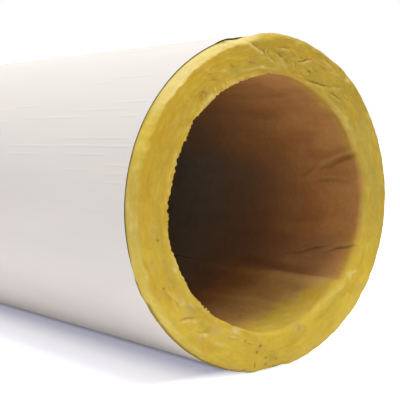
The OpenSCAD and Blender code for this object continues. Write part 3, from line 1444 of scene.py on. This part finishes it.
    def ragged_lip(self, skin: WoolSkin) -> Array:
        """How far the torn fringe of the bore's edge stands towards the axis.

        Args:
            skin: The wool's points.

        Returns:
            The height at each point.
        """
        cut = 0.25 + 0.75 * skin.at(Sector.CUT_LIP)
        arc, side = self.bore_arc(skin), end_shift(skin.front)
        teeth = rows(arc / (2.7 * MM), skin.depth / (6 * MM), side)
        waves = rows(arc / (13 * MM), side, side + 3.0)
        groups = rows(arc / (17 * MM), side + 9.0, side)
        torn = 0.25 + 0.75 * ease(-0.15, 0.45, self.noise.sample(groups))
        torn = np.maximum(torn, 0.55 * skin.at(Sector.TORN_LIP))
        combed = np.clip(self.noise.fractal(teeth, 2, 0.4), -0.45, 0.45)
        fringe = cut * (2.2 * MM * torn * combed + 0.6 * MM * self.noise.fractal(waves, 2))
        for *place, inward in LIP_WAVES:
            fringe += inward * MM * sector(skin.angle, *place) * skin.front
        off_lip = np.hypot(skin.radius - self.sizes.bore_radius, skin.depth)
        return fringe * bell(off_lip / (3.0 * MM))

    def shaped(self, skin: WoolSkin) -> Array:
        """Moves the points from the plain profile to the shaped wool.

        Args:
            skin: The wool's points. Their radius and depth are moved.

        Returns:
            The points in the frame, one row of three each.
        """
        sizes = self.sizes
        lip = self.lower_lip(skin) + self.ragged_lip(skin)
        face = self.face_relief(skin.angle, skin.radius - lip, skin.front)
        bore = self.bore_relief(skin)
        arc = skin.turn * 2 * math.pi * sizes.wool_radius
        ripple = self.noise.fractal(rows(arc / (7 * MM), skin.depth / (5 * MM), 30.0 * skin.front), 3)
        band = (0.35 + 0.10 * skin.at(Sector.RAGGED_BAND)) * ripple + 0.7 * skin.at(Sector.TOP_BULGE)
        band *= MM * ease(sizes.bare, sizes.bare - 2.0 * MM, skin.depth)
        skin.radius = skin.radius + band * skin.outward - bore * skin.inward - lip
        skin.depth = skin.depth - face * skin.facing
        side = np.where(skin.front > 0.5, 1.0, -1.0)
        return sizes.turn(side * (sizes.half_length - skin.depth), skin.angle, skin.radius)

    def tint(self, skin: WoolSkin, skinned: Array) -> Array:
        """Colour of the wool at each point.

        Args:
            skin: The wool's shaped points.
            skinned: How far each point lies on the bore's skin, from 0 to 1.

        Returns:
            Colours, one row of four each.
        """
        along = skin.depth / (14 * MM) + end_shift(skin.front)
        place = rows(self.bore_arc(skin) / (24 * MM), skin.radius / (9 * MM), along)
        clouds = self.noise.fractal(place, 3)
        fine = self.noise.fractal(place * 2.7 + 13.0, 3)
        count = len(clouds)
        cut = paint(np.full((count, 3), self.finish.gold), self.face_layers(skin, clouds, fine))
        cut = paint(cut, self.edge_layers(skin, fine))
        cut = paint(cut, self.mark_layers(skin))
        hide = paint(np.full((count, 3), self.finish.skin), self.skin_layers(skin, clouds))
        return np.concatenate([cut + (hide - cut) * skinned[:, None], np.ones((count, 1))], axis=1)

    def face_layers(self, skin: WoolSkin, clouds: Array, fine: Array) -> Iterator[Layer]:
        """Colours of the cut faces, in the order in which they are laid.

        Args:
            skin: The wool's shaped points.
            clouds: Soft noise at each point.
            fine: Finer noise at each point.

        Returns:
            Each colour, and how much of it each point takes.
        """
        finish = self.finish
        yield finish.olive, 0.85 * skin.at(Sector.OLIVE_FACE)
        yield finish.torn, 0.90 * skin.at(Sector.TORN_FACE)
        yield finish.lemon, 0.80 * skin.at(Sector.LEMON_FACE)
        yield finish.amber, 0.40 * ease(0.05, 0.7, clouds)
        yield finish.lemon, 0.35 * ease(0.05, 0.8, fine)
        yield finish.rose, 0.18 * skin.at(Sector.ROSE_FACE) * ease(0.15, 0.7, -fine)
        share = self.sizes.wall_share(skin.radius)
        yield finish.pale, 0.14 * skin.at(Sector.PULLED_FACE) * ease(0.55, 0.85, share)
        inner = bell((share - 0.25) / 0.14) * skin.facing
        yield finish.dull, 0.34 * inner * (skin.at(Sector.SHADED_FACE) + 0.8 * skin.at(Sector.SHADED_SLIT))
        brushed = rows(self.bore_arc(skin) / (7 * MM), skin.radius / (2.4 * MM), 90.0 * skin.front)
        strokes = self.noise.fractal(brushed, 2)
        stroked = skin.at(Sector.BRUSHED_FACE) * skin.facing
        yield finish.pale, 0.08 * stroked * ease(0.1, 0.6, strokes)
        yield finish.dull, 0.11 * stroked * ease(0.1, 0.6, -strokes)

    def edge_layers(self, skin: WoolSkin, fine: Array) -> Iterator[Layer]:
        """Colours of the bare band with painted shade on its turned edge, of the painted shadow in the gap
        beside the jacket, and of the bore's edge.

        Args:
            skin: The wool's shaped points.
            fine: Fine noise at each point.

        Returns:
            Each colour, and how much of it each point takes.
        """
        finish = self.finish
        soft = skin.at(Sector.SOFT_BAND)
        band = (skin.outward + 0.10 * fine - 0.06 * (1.0 - soft)) / (0.48 + 0.42 * soft)
        band = ease(0.0, 1.0, band)
        yield finish.straw, 0.75 * band
        yield finish.lemon, 0.70 * band * skin.at(Sector.LEMON_BAND)
        yield finish.lemon, 0.70 * band * skin.at(Sector.LEMON_SIDE)
        yield finish.pale, 0.85 * band * skin.at(Sector.PALE_BAND)
        yield finish.pale, 0.30 * band * ease(0.1, 0.7, fine)
        yield finish.pale, 0.14 * band * skin.at(Sector.PALE_SIDE)
        yield finish.dull, 0.14 * band * ease(0.1, 0.7, -fine)
        # Painted shade on the outer edge where it turns away.
        turned = ease(0.1, 0.6, skin.outward) * skin.at(Sector.TURNED_BAND)
        yield finish.dull, 0.90 * turned
        yield finish.groove, 0.35 * turned * ease(0.3, 0.8, skin.outward)
        # Painted shadow on the wool in the gap beside the jacket's end.
        low = skin.at(Sector.LOW_GAP)
        wide = skin.at(Sector.TOP_GAP) + 0.6 * skin.at(Sector.SIDE_GAP) + 1.3 * low
        gap_from = (6.8 - 2.0 * wide) * MM
        by_jacket = ease(gap_from, gap_from + 0.7 * MM, skin.depth) * skin.outward
        yield finish.groove, (0.65 + 0.35 * low) * by_jacket
        off_bore = skin.radius - self.sizes.bore_radius
        rim = bell(off_bore / (1.6 * MM)) * skin.facing * skin.at(Sector.PALE_RIM)
        yield finish.pale, 0.40 * rim * ease(-0.3, 0.5, fine)
        combed = self.noise.fractal(rows(self.bore_arc(skin) / (1.8 * MM), skin.radius / (4 * MM), 0.0), 2)
        fuzz = skin.at(Sector.FUZZY_RIM) * ease(6.0 * MM, 0.0, off_bore)
        yield finish.pale, 0.45 * fuzz * ease(0.0, 0.5, combed)
        bare = (skin.at(Sector.BARE_BOTTOM) + 0.8 * skin.at(Sector.BARE_TOP)) * skin.inward
        yield finish.lemon, 0.70 * bare
        yield finish.pale, 0.25 * bare * ease(-0.2, 0.6, fine)

    def mark_layers(self, skin: WoolSkin) -> Iterator[Layer]:
        """Colours of the front end's stains and pits, and the painted shade and highlight of its folds.

        Args:
            skin: The wool's shaped points.

        Returns:
            Each colour, and how much of it each point takes.
        """
        shown = skin.front * np.clip(1.4 * skin.facing, 0.0, 1.0)
        for stain, places in FRONT_MARKS.items():
            for place in places:
                share = self.mark_share(Mark(*place), skin.angle, skin.radius)
                yield getattr(self.finish, stain.value), STAIN_STRENGTH[stain] * shown * share
        # Painted highlight on the lips of the folds and painted shade in their grooves.
        across, height = self.wobbled(*across_up(skin.radius, skin.angle))
        for fold in FRONT_FOLDS:
            groove, lip = fold.shares(self.face_path(fold), across, height)
            yield self.finish.pale, 1.15 * fold.light * shown * lip
            yield self.finish.groove, min(1.35 * fold.dark, 1.0) * shown * groove

    def skin_layers(self, skin: WoolSkin, clouds: Array) -> Iterator[Layer]:
        """Colours of the bore's skin, in the order in which they are laid.

        Args:
            skin: The wool's shaped points.
            clouds: Soft noise at each point.

        Returns:
            Each colour, and how much of it each point takes.
        """
        finish, front, depth = self.finish, skin.front, skin.depth
        brushed = rows(self.bore_arc(skin) / (13 * MM), depth / (48 * MM), 40.0 * front)
        yield finish.deep_skin, 0.80 * ease(-0.5, 0.7, self.noise.fractal(brushed, 3) + 0.3 * clouds)
        low, upper = skin.at(Sector.TAN_SKIN), skin.at(Sector.CLEAN_SKIN)
        yield finish.tan_skin, 0.85 * low * ease(0.14, 0.05, depth)
        # Painted shade that deepens into the bore, lessened where spared, and painted shade over the slit
        # near the mouth.
        spared = 0.6 * low * ease(0.15, 0.09, depth) + 0.75 * upper
        yield finish.dim_skin, 0.90 * ease(0.03, 0.13, depth) * (1.0 - spared)
        yield finish.dim_skin, 0.42 * skin.at(Sector.OVER_SLIT) * ease(0.0, 0.03, depth)
        round_bore = self.bore_round(skin)
        for centre, middle, half_round, half_along, change in BORE_PATCHES:
            off_round = (round_bore - math.radians(centre) * self.sizes.bore_radius) / (half_round * MM)
            off_along = (depth - middle) / (half_along * MM)
            patch = np.minimum(np.exp(0.8 * clouds - off_round**2 - off_along**2), 1.0) * front
            yield finish.pale if change > 0.0 else finish.pit, abs(change) * patch
        # Painted highlight on the lips of the bore's creases and painted shade in their grooves.
        for crease in BORE_CREASES:
            groove, lip = crease.shares(self.bore_path(crease), round_bore, depth)
            yield finish.tan_skin, crease.light * front * lip
            yield finish.pit, crease.dark * front * groove
        yield finish.grey_skin, ease(0.10, 0.21, depth) * (1.0 - 0.5 * upper)

    def skin_share(self, skin: WoolSkin) -> Array:
        """Where the bore's skin shows.

        Args:
            skin: The wool's shaped points.

        Returns:
            0 on cut wool, 1 on the skin.
        """
        low, upper = skin.at(Sector.FADED_BOTTOM), skin.at(Sector.FADED_TOP)
        by_slit = skin.at(Sector.FADED_SLIT)
        fade = (12.0 + 13.0 * upper + 30.0 * low + 12.0 * by_slit) * MM
        frayed = rows(self.bore_arc(skin) / (26 * MM), skin.depth / (34 * MM), 20.0 * skin.front)
        edge = (3.5 + 6.0 * low) * MM * self.noise.fractal(frayed, 2)
        edge += 9.0 * low * MM * self.noise.fractal(frayed * 2.6 + 5.0, 2)
        start = (21.0 * skin.at(Sector.LATE_BOTTOM) - 3.0 * by_slit - 7.0) * MM
        return ease(0.0, 0.8, skin.inward) * ease(0.0, 1.0, (skin.depth + edge - start) / fade)

    def faces(self, rings: list[LatheRing]) -> Faces:
        """Joins the rings into faces and closes the two sides of the slit.

        Args:
            rings: The rings, in a closed loop.

        Returns:
            The faces, as lists of point numbers.
        """
        starts = np.cumsum([0] + [ring.spans + 1 for ring in rings]).tolist()
        faces = []
        for index, ring in enumerate(rings):
            follow = (index + 1) % len(rings)
            more, less = ring.spans, rings[follow].spans
            for step in range(min(more, less)):
                near = starts[index] + step * max(1, more // less)
                far = starts[follow] + step * max(1, less // more)
                if more == less:
                    faces.append([near, near + 1, far + 1, far])
                elif more > less:
                    faces += [[near, near + 1, far], [near + 1, far + 1, far], [near + 1, near + 2, far + 1]]
                else:
                    faces += [[near, far + 1, far], [near, near + 1, far + 1], [near + 1, far + 2, far + 1]]
        faces.append(starts[:-1])
        faces.append([start - 1 for start in starts[:0:-1]])
        return faces

    def build(self) -> Piece:
        """Builds and dresses the wool.

        Returns:
            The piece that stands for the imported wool.
        """
        rings = self.loop()
        parts = [self.ring_points(ring) for ring in rings]
        names = [item.name for item in fields(WoolSkin)]
        skin = WoolSkin(**{name: np.concatenate([getattr(part, name) for part in parts]) for name in names})
        points = self.shaped(skin)
        piece = mesh_piece("cut_wool_sleeve", points, self.faces(rings), [self.finish.material()])
        piece.data.set_sharp_from_angle(angle=math.radians(self.sharp_angle))
        skinned = self.skin_share(skin)
        store_values(piece, "tint", self.tint(skin, skinned))
        store_values(piece, "skinned", skinned)
        store_values(piece, "unrolled", rows(self.bore_arc(skin), skin.radius, skin.depth))
        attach(piece, BODY)
        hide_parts("wool_sleeve")
        return piece


@dataclass
class LooseFibres:
    """Loose fibres on one cut end: some lie on it, and some stand off the edge of the bore.

    Attributes:
        wool: The wool that carries them.
        end: The end that they lie on.
        material: Their material.
        lying: How many lie on the cut face.
        fringe: How many stand off the edge of the bore.
        seed: Seed of their places.
    """

    STEPS = 6
    SIDES = 3
    THICKNESS = (0.02 * MM, 0.045 * MM)
    INNER_MARGIN = 2.5 * MM
    OUTER_MARGIN = 4.0 * MM
    LYING_LENGTH = (3.0 * MM, 11.0 * MM)
    LYING_SPREAD = 0.55
    LYING_BEND = 0.9
    FRINGE_LENGTH = (0.5, 1.4)
    FRINGE_SPREAD = 0.75
    FRINGE_BEND = 0.8

    wool: WoolSleeve
    end: End
    material: Material
    lying: int
    fringe: int
    seed: int

    def curl(self, rng: np.random.Generator, roots: tuple[Array, Array], heading: Array,
             length: Array, bend: float) -> tuple[Array, Array]:
        """Draws curved lines on the end's plane.

        Args:
            rng: The random draw.
            roots: Distances from the axis and angles in radians at which they start.
            heading: The way each starts, in radians.
            length: The length of each.
            bend: How far they turn, in radians.

        Returns:
            Angles and distances from the axis along each line.
        """
        turn = rng.normal(0.0, bend, (len(length), 1)) * np.linspace(-0.5, 0.5, self.STEPS)
        way = heading[:, None] + turn
        stride = length[:, None] / (self.STEPS - 1)
        across = np.cumsum(np.cos(way) * stride, axis=1)
        height = np.cumsum(np.sin(way) * stride, axis=1)
        root_across, root_height = across_up(*roots)
        across += root_across[:, None] - across[:, :1]
        height += root_height[:, None] - height[:, :1]
        return np.arctan2(height, across), np.hypot(across, height)

    def lying_paths(self, rng: np.random.Generator) -> Array:
        """Lays fibres on the cut face.

        Args:
            rng: The random draw.

        Returns:
            Points along each fibre, an array of fibres by steps by three.
        """
        sizes = self.wool.sizes
        count = self.lying
        inner = sizes.bore_radius + self.INNER_MARGIN
        outer = sizes.wool_radius - self.OUTER_MARGIN
        root_radius = np.sqrt(rng.uniform(inner**2, outer**2, count))
        root_angle = math.radians(sizes.slit_angle) + rng.uniform(0.03, 2 * math.pi - 0.03, count)
        heading = root_angle + math.pi / 2 + rng.normal(0.0, self.LYING_SPREAD, count)
        length = rng.uniform(*self.LYING_LENGTH, count)
        angle, radius = self.curl(rng, (root_radius, root_angle), heading, length, self.LYING_BEND)
        kept = (radius.min(axis=1) > inner) & (radius.max(axis=1) < outer)
        return self.on_face(rng, angle[kept], radius[kept])

    def on_face(self, rng: np.random.Generator, angle: Array, radius: Array) -> Array:
        """Sets fibres on the relief of the cut face, with their tips sunk in it.

        Args:
            rng: The random draw.
            angle: Angles along each fibre, in radians.
            radius: Distances from the axis along each fibre.

        Returns:
            Points along each fibre.
        """
        front = np.full(angle.shape, self.end.front)
        slit = math.radians(self.wool.sizes.slit_angle)
        relief = self.wool.face_relief((angle - slit) % (2 * math.pi) + slit, radius, front)
        arch = np.sin(np.pi * np.linspace(0.0, 1.0, self.STEPS))
        lift = rng.uniform(0.0, 0.06 * MM, (len(angle), 1)) * arch - 0.12 * MM * (1.0 - arch)
        x = self.end.value * (self.wool.sizes.half_length + relief + lift)
        return self.wool.sizes.turn(x, angle, radius)

    def fringe_paths(self, rng: np.random.Generator) -> Array:
        """Stands fibres off the edge of the bore.

        Args:
            rng: The random draw.

        Returns:
            Points along each fibre, an array of fibres by steps by three.
        """
        sizes = self.wool.sizes
        count = self.fringe
        root_angle = math.radians(sizes.slit_angle) + rng.uniform(0.05, 2 * math.pi - 0.05, count)
        length = (1.2 + 0.9 * Sector.LONG_FRINGE.share(root_angle)) * MM
        length = length * rng.uniform(*self.FRINGE_LENGTH, count)
        front = np.full(count, self.end.front)
        root_radius = sizes.bore_radius + self.wool.lip_size(root_angle, front)
        root_radius = root_radius + rng.uniform(0.0, 1.2 * MM, count)
        heading = root_angle + math.pi + rng.normal(0.0, self.FRINGE_SPREAD, count)
        angle, radius = self.curl(rng, (root_radius, root_angle), heading, length, self.FRINGE_BEND)
        share = np.linspace(0.0, 1.0, self.STEPS)
        rise = rng.normal(0.1 * MM, 0.5 * MM, (count, 1)) * share - 0.2 * MM * (1.0 - share)
        relief = self.wool.face_relief(root_angle, root_radius, front)[:, None]
        x = self.end.value * (sizes.half_length + relief + rise)
        return sizes.turn(x, angle, radius)

    def tubes(self, paths: Array, thickness: Array) -> tuple[Array, Faces]:
        """Makes a thin closed tube along each path, drawn out to a tip at both ends.

        Args:
            paths: Points along each fibre.
            thickness: Each fibre's radius.

        Returns:
            The tubes' points and faces.
        """
        count = len(paths)
        along = np.gradient(paths, axis=1)
        along /= np.linalg.norm(along, axis=2, keepdims=True)
        reference = np.where(np.abs(along[..., :1]) < 0.8, (1.0, 0.0, 0.0), (0.0, 0.0, 1.0))
        first = np.cross(along, reference)
        first /= np.linalg.norm(first, axis=2, keepdims=True)
        second = np.cross(along, first)
        turns = np.arange(self.SIDES) * 2 * math.pi / self.SIDES
        middle = slice(1, self.STEPS - 1)
        rim = first[:, middle, None] * np.cos(turns)[:, None]
        rim = rim + second[:, middle, None] * np.sin(turns)[:, None]
        rings = paths[:, middle, None] + rim * thickness[:, None, None, None]
        points = np.concatenate([paths[:, :1], rings.reshape(count, -1, 3), paths[:, -1:]], axis=1)
        last = points.shape[1] - 1
        pattern = []
        for side in range(self.SIDES):
            follow = (side + 1) % self.SIDES
            pattern.append([0, 1 + follow, 1 + side])
            pattern.append([last, last - self.SIDES + side, last - self.SIDES + follow])
            for ring in range(self.STEPS - 3):
                near, far = 1 + ring * self.SIDES, 1 + (ring + 1) * self.SIDES
                pattern.append([near + side, near + follow, far + follow, far + side])
        starts = range(0, count * (last + 1), last + 1)
        faces = [[start + corner for corner in face] for start in starts for face in pattern]
        return points.reshape(-1, 3), faces

    def build(self) -> Piece:
        """Builds and dresses the fibres of this end.

        Returns:
            The piece.
        """
        rng = np.random.default_rng(self.seed)
        paths = np.concatenate([self.lying_paths(rng), self.fringe_paths(rng)])
        thickness = rng.uniform(*self.THICKNESS, len(paths))
        points, faces = self.tubes(paths, thickness)
        piece = mesh_piece(f"loose_fibres_{self.end.name.lower()}", points, faces, [self.material])
        shade = np.repeat(rng.uniform(0.0, 1.0, len(paths)), len(points) // len(paths))
        store_values(piece, "shade", shade)
        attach(piece, BODY)
        return piece


@dataclass
class PaperJacket:
    """The jacket: one sheet of paper laminate round the wool, whose lap covers the slit.

    Attributes:
        sizes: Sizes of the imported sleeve.
        paper: Finish of the outer side.
        laminate: Finish of the edges and the inner side.
        thickness: Thickness of the sheet.
        lap_width: Width of the lap.
        lap_gap: Gap between the lap and the sheet below it.
        lap_curl: How far the lap's edge curls up.
        waves: Height of the sheet's soft waves.
        uneven: How far its cut ends wander along the sleeve.
        overhang: How far they stand out on the average.
        spans: Spans across the sheet, from its covered edge to the edge of the lap.
        creases: How many faint creases run along it.
        seed: Seed of their places.
        noise: The noise that shapes the sheet.
    """

    NEAR_END = (0.0, 0.22, 1.5, 3.0, 5.0, 8.0, 13.0)
    BACK_ROWS = (0, 2, 4, 5)
    FRONT_ROWS = (-13, -11, -9, -8, -7, -6, -5, -3, -1)
    FULL_DUST = 0.16 * MM

    sizes: SleeveSizes
    paper: PaperFinish = PaperFinish()
    laminate: LaminateFinish = LaminateFinish()
    thickness: float = 0.3 * MM
    lap_width: float = 40.0 * MM
    lap_gap: float = 0.06 * MM
    lap_curl: float = 0.25 * MM
    waves: float = 0.10 * MM
    uneven: float = 0.35 * MM
    overhang: float = 0.4 * MM
    spans: int = 1280
    creases: int = 90
    seed: int = 5
    noise: FibreNoise = field(default_factory=lambda: FibreNoise(23))

    def stations(self) -> Array:
        """Places of the sheet's rows along the sleeve, close together at its ends.

        Returns:
            The places, from the back end to the front.
        """
        half = self.sizes.jacket_half_length
        near_end = np.array(self.NEAR_END) * MM
        middle = np.linspace(-half + 22.0 * MM, half - 205.0 * MM, 30)
        creased = np.linspace(half - 193.0 * MM, half - 22.0 * MM, 16)
        return np.concatenate([-half + near_end, middle, creased, (half - near_end)[::-1]])

    def crease_shares(self, angle: Array, x: Array) -> tuple[Array, Array]:
        """Height of the creases along the sleeve, and their painted shade and highlight.

        Args:
            angle: Angles round the sleeve, in radians.
            x: Places along the sleeve.

        Returns:
            The height at each place, and the share of painted shade, below 0 where a crease's upper side gets
            painted highlight.
        """
        rng = np.random.default_rng(self.seed)
        runs = []
        for index in range(self.creases):
            crowded = index < self.creases * 2 // 3
            centre = rng.normal(157.0, 14.0) if crowded else rng.uniform(0.0, 360.0)
            middle = rng.uniform(-0.45, 0.30)
            half = rng.uniform(0.02, 0.09)
            height = rng.choice([-1.0, 1.0]) * rng.uniform(0.06 * MM, 0.16 * MM)
            width = rng.uniform(0.5 * MM, 0.9 * MM)
            runs.append((centre, middle, half, width, height * (1.0 if crowded else 0.4)))
        for centre, first, last in JACKET_CREASES:
            runs.append((centre, (first + last) / 2, (last - first) / 2 + 4.0 * MM, 0.5 * MM, 0.13 * MM))
        relief = np.zeros(angle.shape)
        crease_shading = np.zeros(angle.shape)
        for centre, middle, half, width, height in runs:
            along = ease(half, half - 9.0 * MM, np.abs(x - middle))
            off_line = half_turn(np.radians(centre) - angle) * self.sizes.jacket_radius / width
            # Painted shade below each crease and painted highlight above it.
            below, above = bell(off_line + 0.8), bell(off_line - 1.2)
            relief += height * along * bell(off_line)
            crease_shading += abs(height) / self.FULL_DUST * along * (below - 0.5 * above)
        return relief, np.clip(crease_shading, -1.0, 1.0)

    def end_lift(self, angle: Array, off_end: Array, front: Array) -> Array:
        """How far the sheet's ends stand off the wool.

        Args:
            angle: Angles round the sleeve, in radians.
            off_end: Distances from the nearer end of the sheet.
            front: 1 in the front half and 0 in the back half.

        Returns:
            The height at each place.
        """
        wave = rows(angle * self.sizes.jacket_radius / (28 * MM), 9.0 * front, 0.0)
        lift = 0.05 * MM + 0.10 * MM * self.noise.fractal(wave, 2)
        for *place, height in JACKET_GAPS:
            lift += front * height * MM * sector(angle, *place)
        return np.maximum(lift, 0.0) * ease(7.0 * MM, 0.0, off_end)

    def build(self) -> Piece:
        """Builds and dresses the sheet.

        Returns:
            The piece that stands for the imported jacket.
        """
        sizes = self.sizes
        lap = self.lap_width / sizes.jacket_radius
        run = np.linspace(0.0, 2 * math.pi + lap, self.spans + 1)
        runs, places = np.meshgrid(run, self.stations())
        angle = math.radians(sizes.slit_angle) - runs
        over = ease(2 * math.pi - 0.05, 2 * math.pi - 0.004, runs)
        off_end = sizes.jacket_half_length - np.abs(places)
        front = (places > 0).astype(float)
        arc = runs * sizes.jacket_radius
        wave = self.waves * self.noise.fractal(rows(arc / (70 * MM), places / (240 * MM), over * 9.0), 2)
        uneven = self.uneven * self.noise.fractal(rows(arc / (45 * MM), 6.0 * front, over * 5.0), 3)
        crease, crease_shading = self.crease_shares(angle, places)
        radius = sizes.jacket_radius + self.end_lift(angle, off_end, front)
        radius -= sizes.pressed_in(angle, off_end + sizes.bare, front)
        radius += (self.thickness + self.lap_gap) * over
        radius += self.lap_curl * ease(run[-1] - 0.03, run[-1], runs)
        places = places + np.sign(places) * (uneven + self.overhang) * ease(20.0 * MM, 0.0, off_end)
        outer = sizes.turn(places, angle, radius + wave + crease)
        inner_rows = [*self.BACK_ROWS, len(places) // 2, *self.FRONT_ROWS]
        inner = sizes.turn(places, angle, radius - self.thickness + 0.3 * wave)[inner_rows]
        points = np.concatenate([outer.reshape(-1, 3), inner.reshape(-1, 3)])
        faces, kinds = self.faces(len(outer), len(inner))
        piece = mesh_piece("paper_jacket", points, faces, [self.paper.material(), self.laminate.material()])
        piece.data.polygons.foreach_set("material_index", np.array(kinds, dtype=np.int32))
        piece.data.set_sharp_from_angle(angle=math.radians(50.0))
        unrolled = rows(arc, 0.0, places)
        unrolled = np.concatenate([unrolled, unrolled[inner_rows]])
        store_values(piece, "unrolled", unrolled.reshape(-1, 3))
        store_values(piece, "creased", np.concatenate([crease_shading, np.zeros(inner.shape[:-1])]).ravel())
        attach(piece, BODY)
        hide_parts("jacket")
        return piece

    def faces(self, outer_rows: int, inner_rows: int) -> tuple[Faces, list[int]]:
        """Joins the sheet's two sides and its four edges.

        Args:
            outer_rows: Rows of points on the outer side.
            inner_rows: Rows of points on the inner side.

        Returns:
            The faces, as lists of point numbers, and the number of each face's material.
        """
        wide = self.spans + 1
        base = outer_rows * wide
        faces = grid_faces(outer_rows, wide, flip=True)
        kinds = [0] * len(faces)
        faces += grid_faces(inner_rows, wide, base)
        far_outer, far_inner = (outer_rows - 1) * wide, base + (inner_rows - 1) * wide
        for step in range(self.spans):
            faces.append([step, step + 1, base + step + 1, base + step])
            faces.append([far_outer + step, far_inner + step, far_inner + step + 1, far_outer + step + 1])
        for step in (0, self.spans):
            outer_side = [row * wide + step for row in range(outer_rows)]
            inner_side = [base + row * wide + step for row in range(inner_rows)]
            ring = outer_side + inner_side[::-1]
            faces.append(ring if step == 0 else ring[::-1])
        kinds += [1] * (len(faces) - len(kinds))
        return faces, kinds


@dataclass(frozen=True)
class Lamp:
    """A soft lamp far away.

    Attributes:
        name: Its name.
        towards: The way from the sleeve to the lamp.
        strength: Its strength.
        spread: How wide it is, in degrees. A wide lamp has a soft shadow.
        colour: Its colour.
    """

    name: str
    towards: Triple
    strength: float
    spread: float
    colour: Colour = (1.0, 1.0, 1.0)

    def build(self) -> Piece:
        """Adds the lamp to the scene.

        Returns:
            The lamp.
        """
        light = bpy.data.lights.new(self.name, "SUN")
        light.energy = self.strength
        light.angle = math.radians(self.spread)
        light.color = self.colour
        lamp = bpy.data.objects.new(self.name, light)
        way = Vector(self.towards).normalized()
        lamp.location = way * 3.0
        lamp.rotation_mode = "QUATERNION"
        lamp.rotation_quaternion = way.to_track_quat("Z", "Y")
        bpy.context.scene.collection.objects.link(lamp)
        return lamp


@dataclass
class Studio:
    """The floor, the lamps, the white surroundings and the camera.

    Attributes:
        floor_half: Half of the floor's side.
        floor_cells: Cells along the floor's side.
        surround: Strength of the even light from all round.
        surround_colour: Colour of that light.
        lamps: The lamps.
        camera_place: Where the camera stands.
        camera_azimuth: Its way round the sleeve, in degrees. At 0 it looks along +Y.
        camera_elevation: How far it looks down, in degrees.
        lens: Its focal length, in millimetres on a 36 mm wide frame.
    """

    floor_half: float = 40.0
    floor_cells: int = 8
    surround: float = 0.432
    surround_colour: Colour = (1.0, 0.975, 0.945)
    lamps: tuple[Lamp, ...] = (
        Lamp("ceiling_lamp", (0.0, 0.03, 0.99), 1.86, 40.0, (0.902, 0.953, 1.0)),
        Lamp("front_lamp", (0.35, 0.04, 0.93), 0.68, 40.0),
    )
    camera_place: Triple = (0.9438, -0.4343, 0.1557)
    camera_azimuth: float = 52.42
    camera_elevation: float = 3.736
    lens: float = 90.0

    def build_floor(self) -> Piece:
        """Lays the floor.

        Returns:
            The floor, which isn't part of the sleeve.
        """
        line = np.linspace(-self.floor_half, self.floor_half, self.floor_cells + 1)
        across, along = np.meshgrid(line, line)
        points = rows(across, along, 0.0).reshape(-1, 3)
        faces = grid_faces(len(line), len(line))
        floor = mesh_piece("floor", points, faces, [FloorFinish().material()])
        return floor

    def build_surround(self) -> bpy.types.World:
        """Makes the even light from all round, which shows as white behind the sleeve.

        Returns:
            The world.
        """
        world = bpy.data.worlds.new("white_surround")
        world.use_nodes = True
        tree = world.node_tree
        light = tree.nodes["Background"]
        light.inputs["Color"].default_value = (*self.surround_colour, 1.0)
        light.inputs["Strength"].default_value = self.surround
        white = tree.nodes.new("ShaderNodeBackground")
        white.inputs["Color"].default_value = (1.0, 1.0, 1.0, 1.0)
        choice = tree.nodes.new("ShaderNodeMixShader")
        tree.links.new(seen_as_background(tree), choice.inputs[0])
        tree.links.new(light.outputs[0], choice.inputs[1])
        tree.links.new(white.outputs[0], choice.inputs[2])
        tree.links.new(choice.outputs[0], tree.nodes["World Output"].inputs["Surface"])
        bpy.context.scene.world = world
        return world

    def build_camera(self) -> Piece:
        """Sets the camera up.

        Returns:
            The camera.
        """
        data = bpy.data.cameras.new("camera")
        data.lens = self.lens
        data.sensor_width = 36.0
        data.clip_start = 0.01
        data.clip_end = 200.0
        camera = bpy.data.objects.new("camera", data)
        azimuth = math.radians(self.camera_azimuth)
        elevation = math.radians(self.camera_elevation)
        turn = Matrix.Rotation(azimuth, 4, "Z") @ Matrix.Rotation(math.pi / 2 - elevation, 4, "X")
        camera.matrix_world = Matrix.Translation(self.camera_place) @ turn
        bpy.context.scene.collection.objects.link(camera)
        bpy.context.scene.camera = camera
        return camera

    def build(self) -> None:
        """Builds the whole studio."""
        self.build_camera()
        self.build_floor()
        self.build_surround()
        for lamp in self.lamps:
            lamp.build()
        bpy.context.scene.view_settings.view_transform = "Standard"


def report_piece(piece: Piece) -> None:
    """Logs a piece's name and size."""
    sides = ", ".join(f"{side:.4f}" for side in piece.dimensions)
    LOG.info("%s: %d faces, %s m", piece.name, len(piece.data.polygons), sides)


def main() -> None:
    """Builds the studio and every piece of the sleeve, in order."""
    logging.basicConfig(level=logging.INFO, format="%(name)s: %(message)s")
    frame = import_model()
    sizes = SleeveSizes.from_frame(frame["record"])
    Studio().build()
    wool = WoolSleeve(sizes)
    report_piece(wool.build())
    fibres = FibreFinish().material()
    report_piece(LooseFibres(wool, End.FRONT, fibres, lying=1000, fringe=520, seed=31).build())
    report_piece(LooseFibres(wool, End.BACK, fibres, lying=800, fringe=300, seed=32).build())
    report_piece(PaperJacket(sizes).build())


if __name__ == "__main__":
    main()
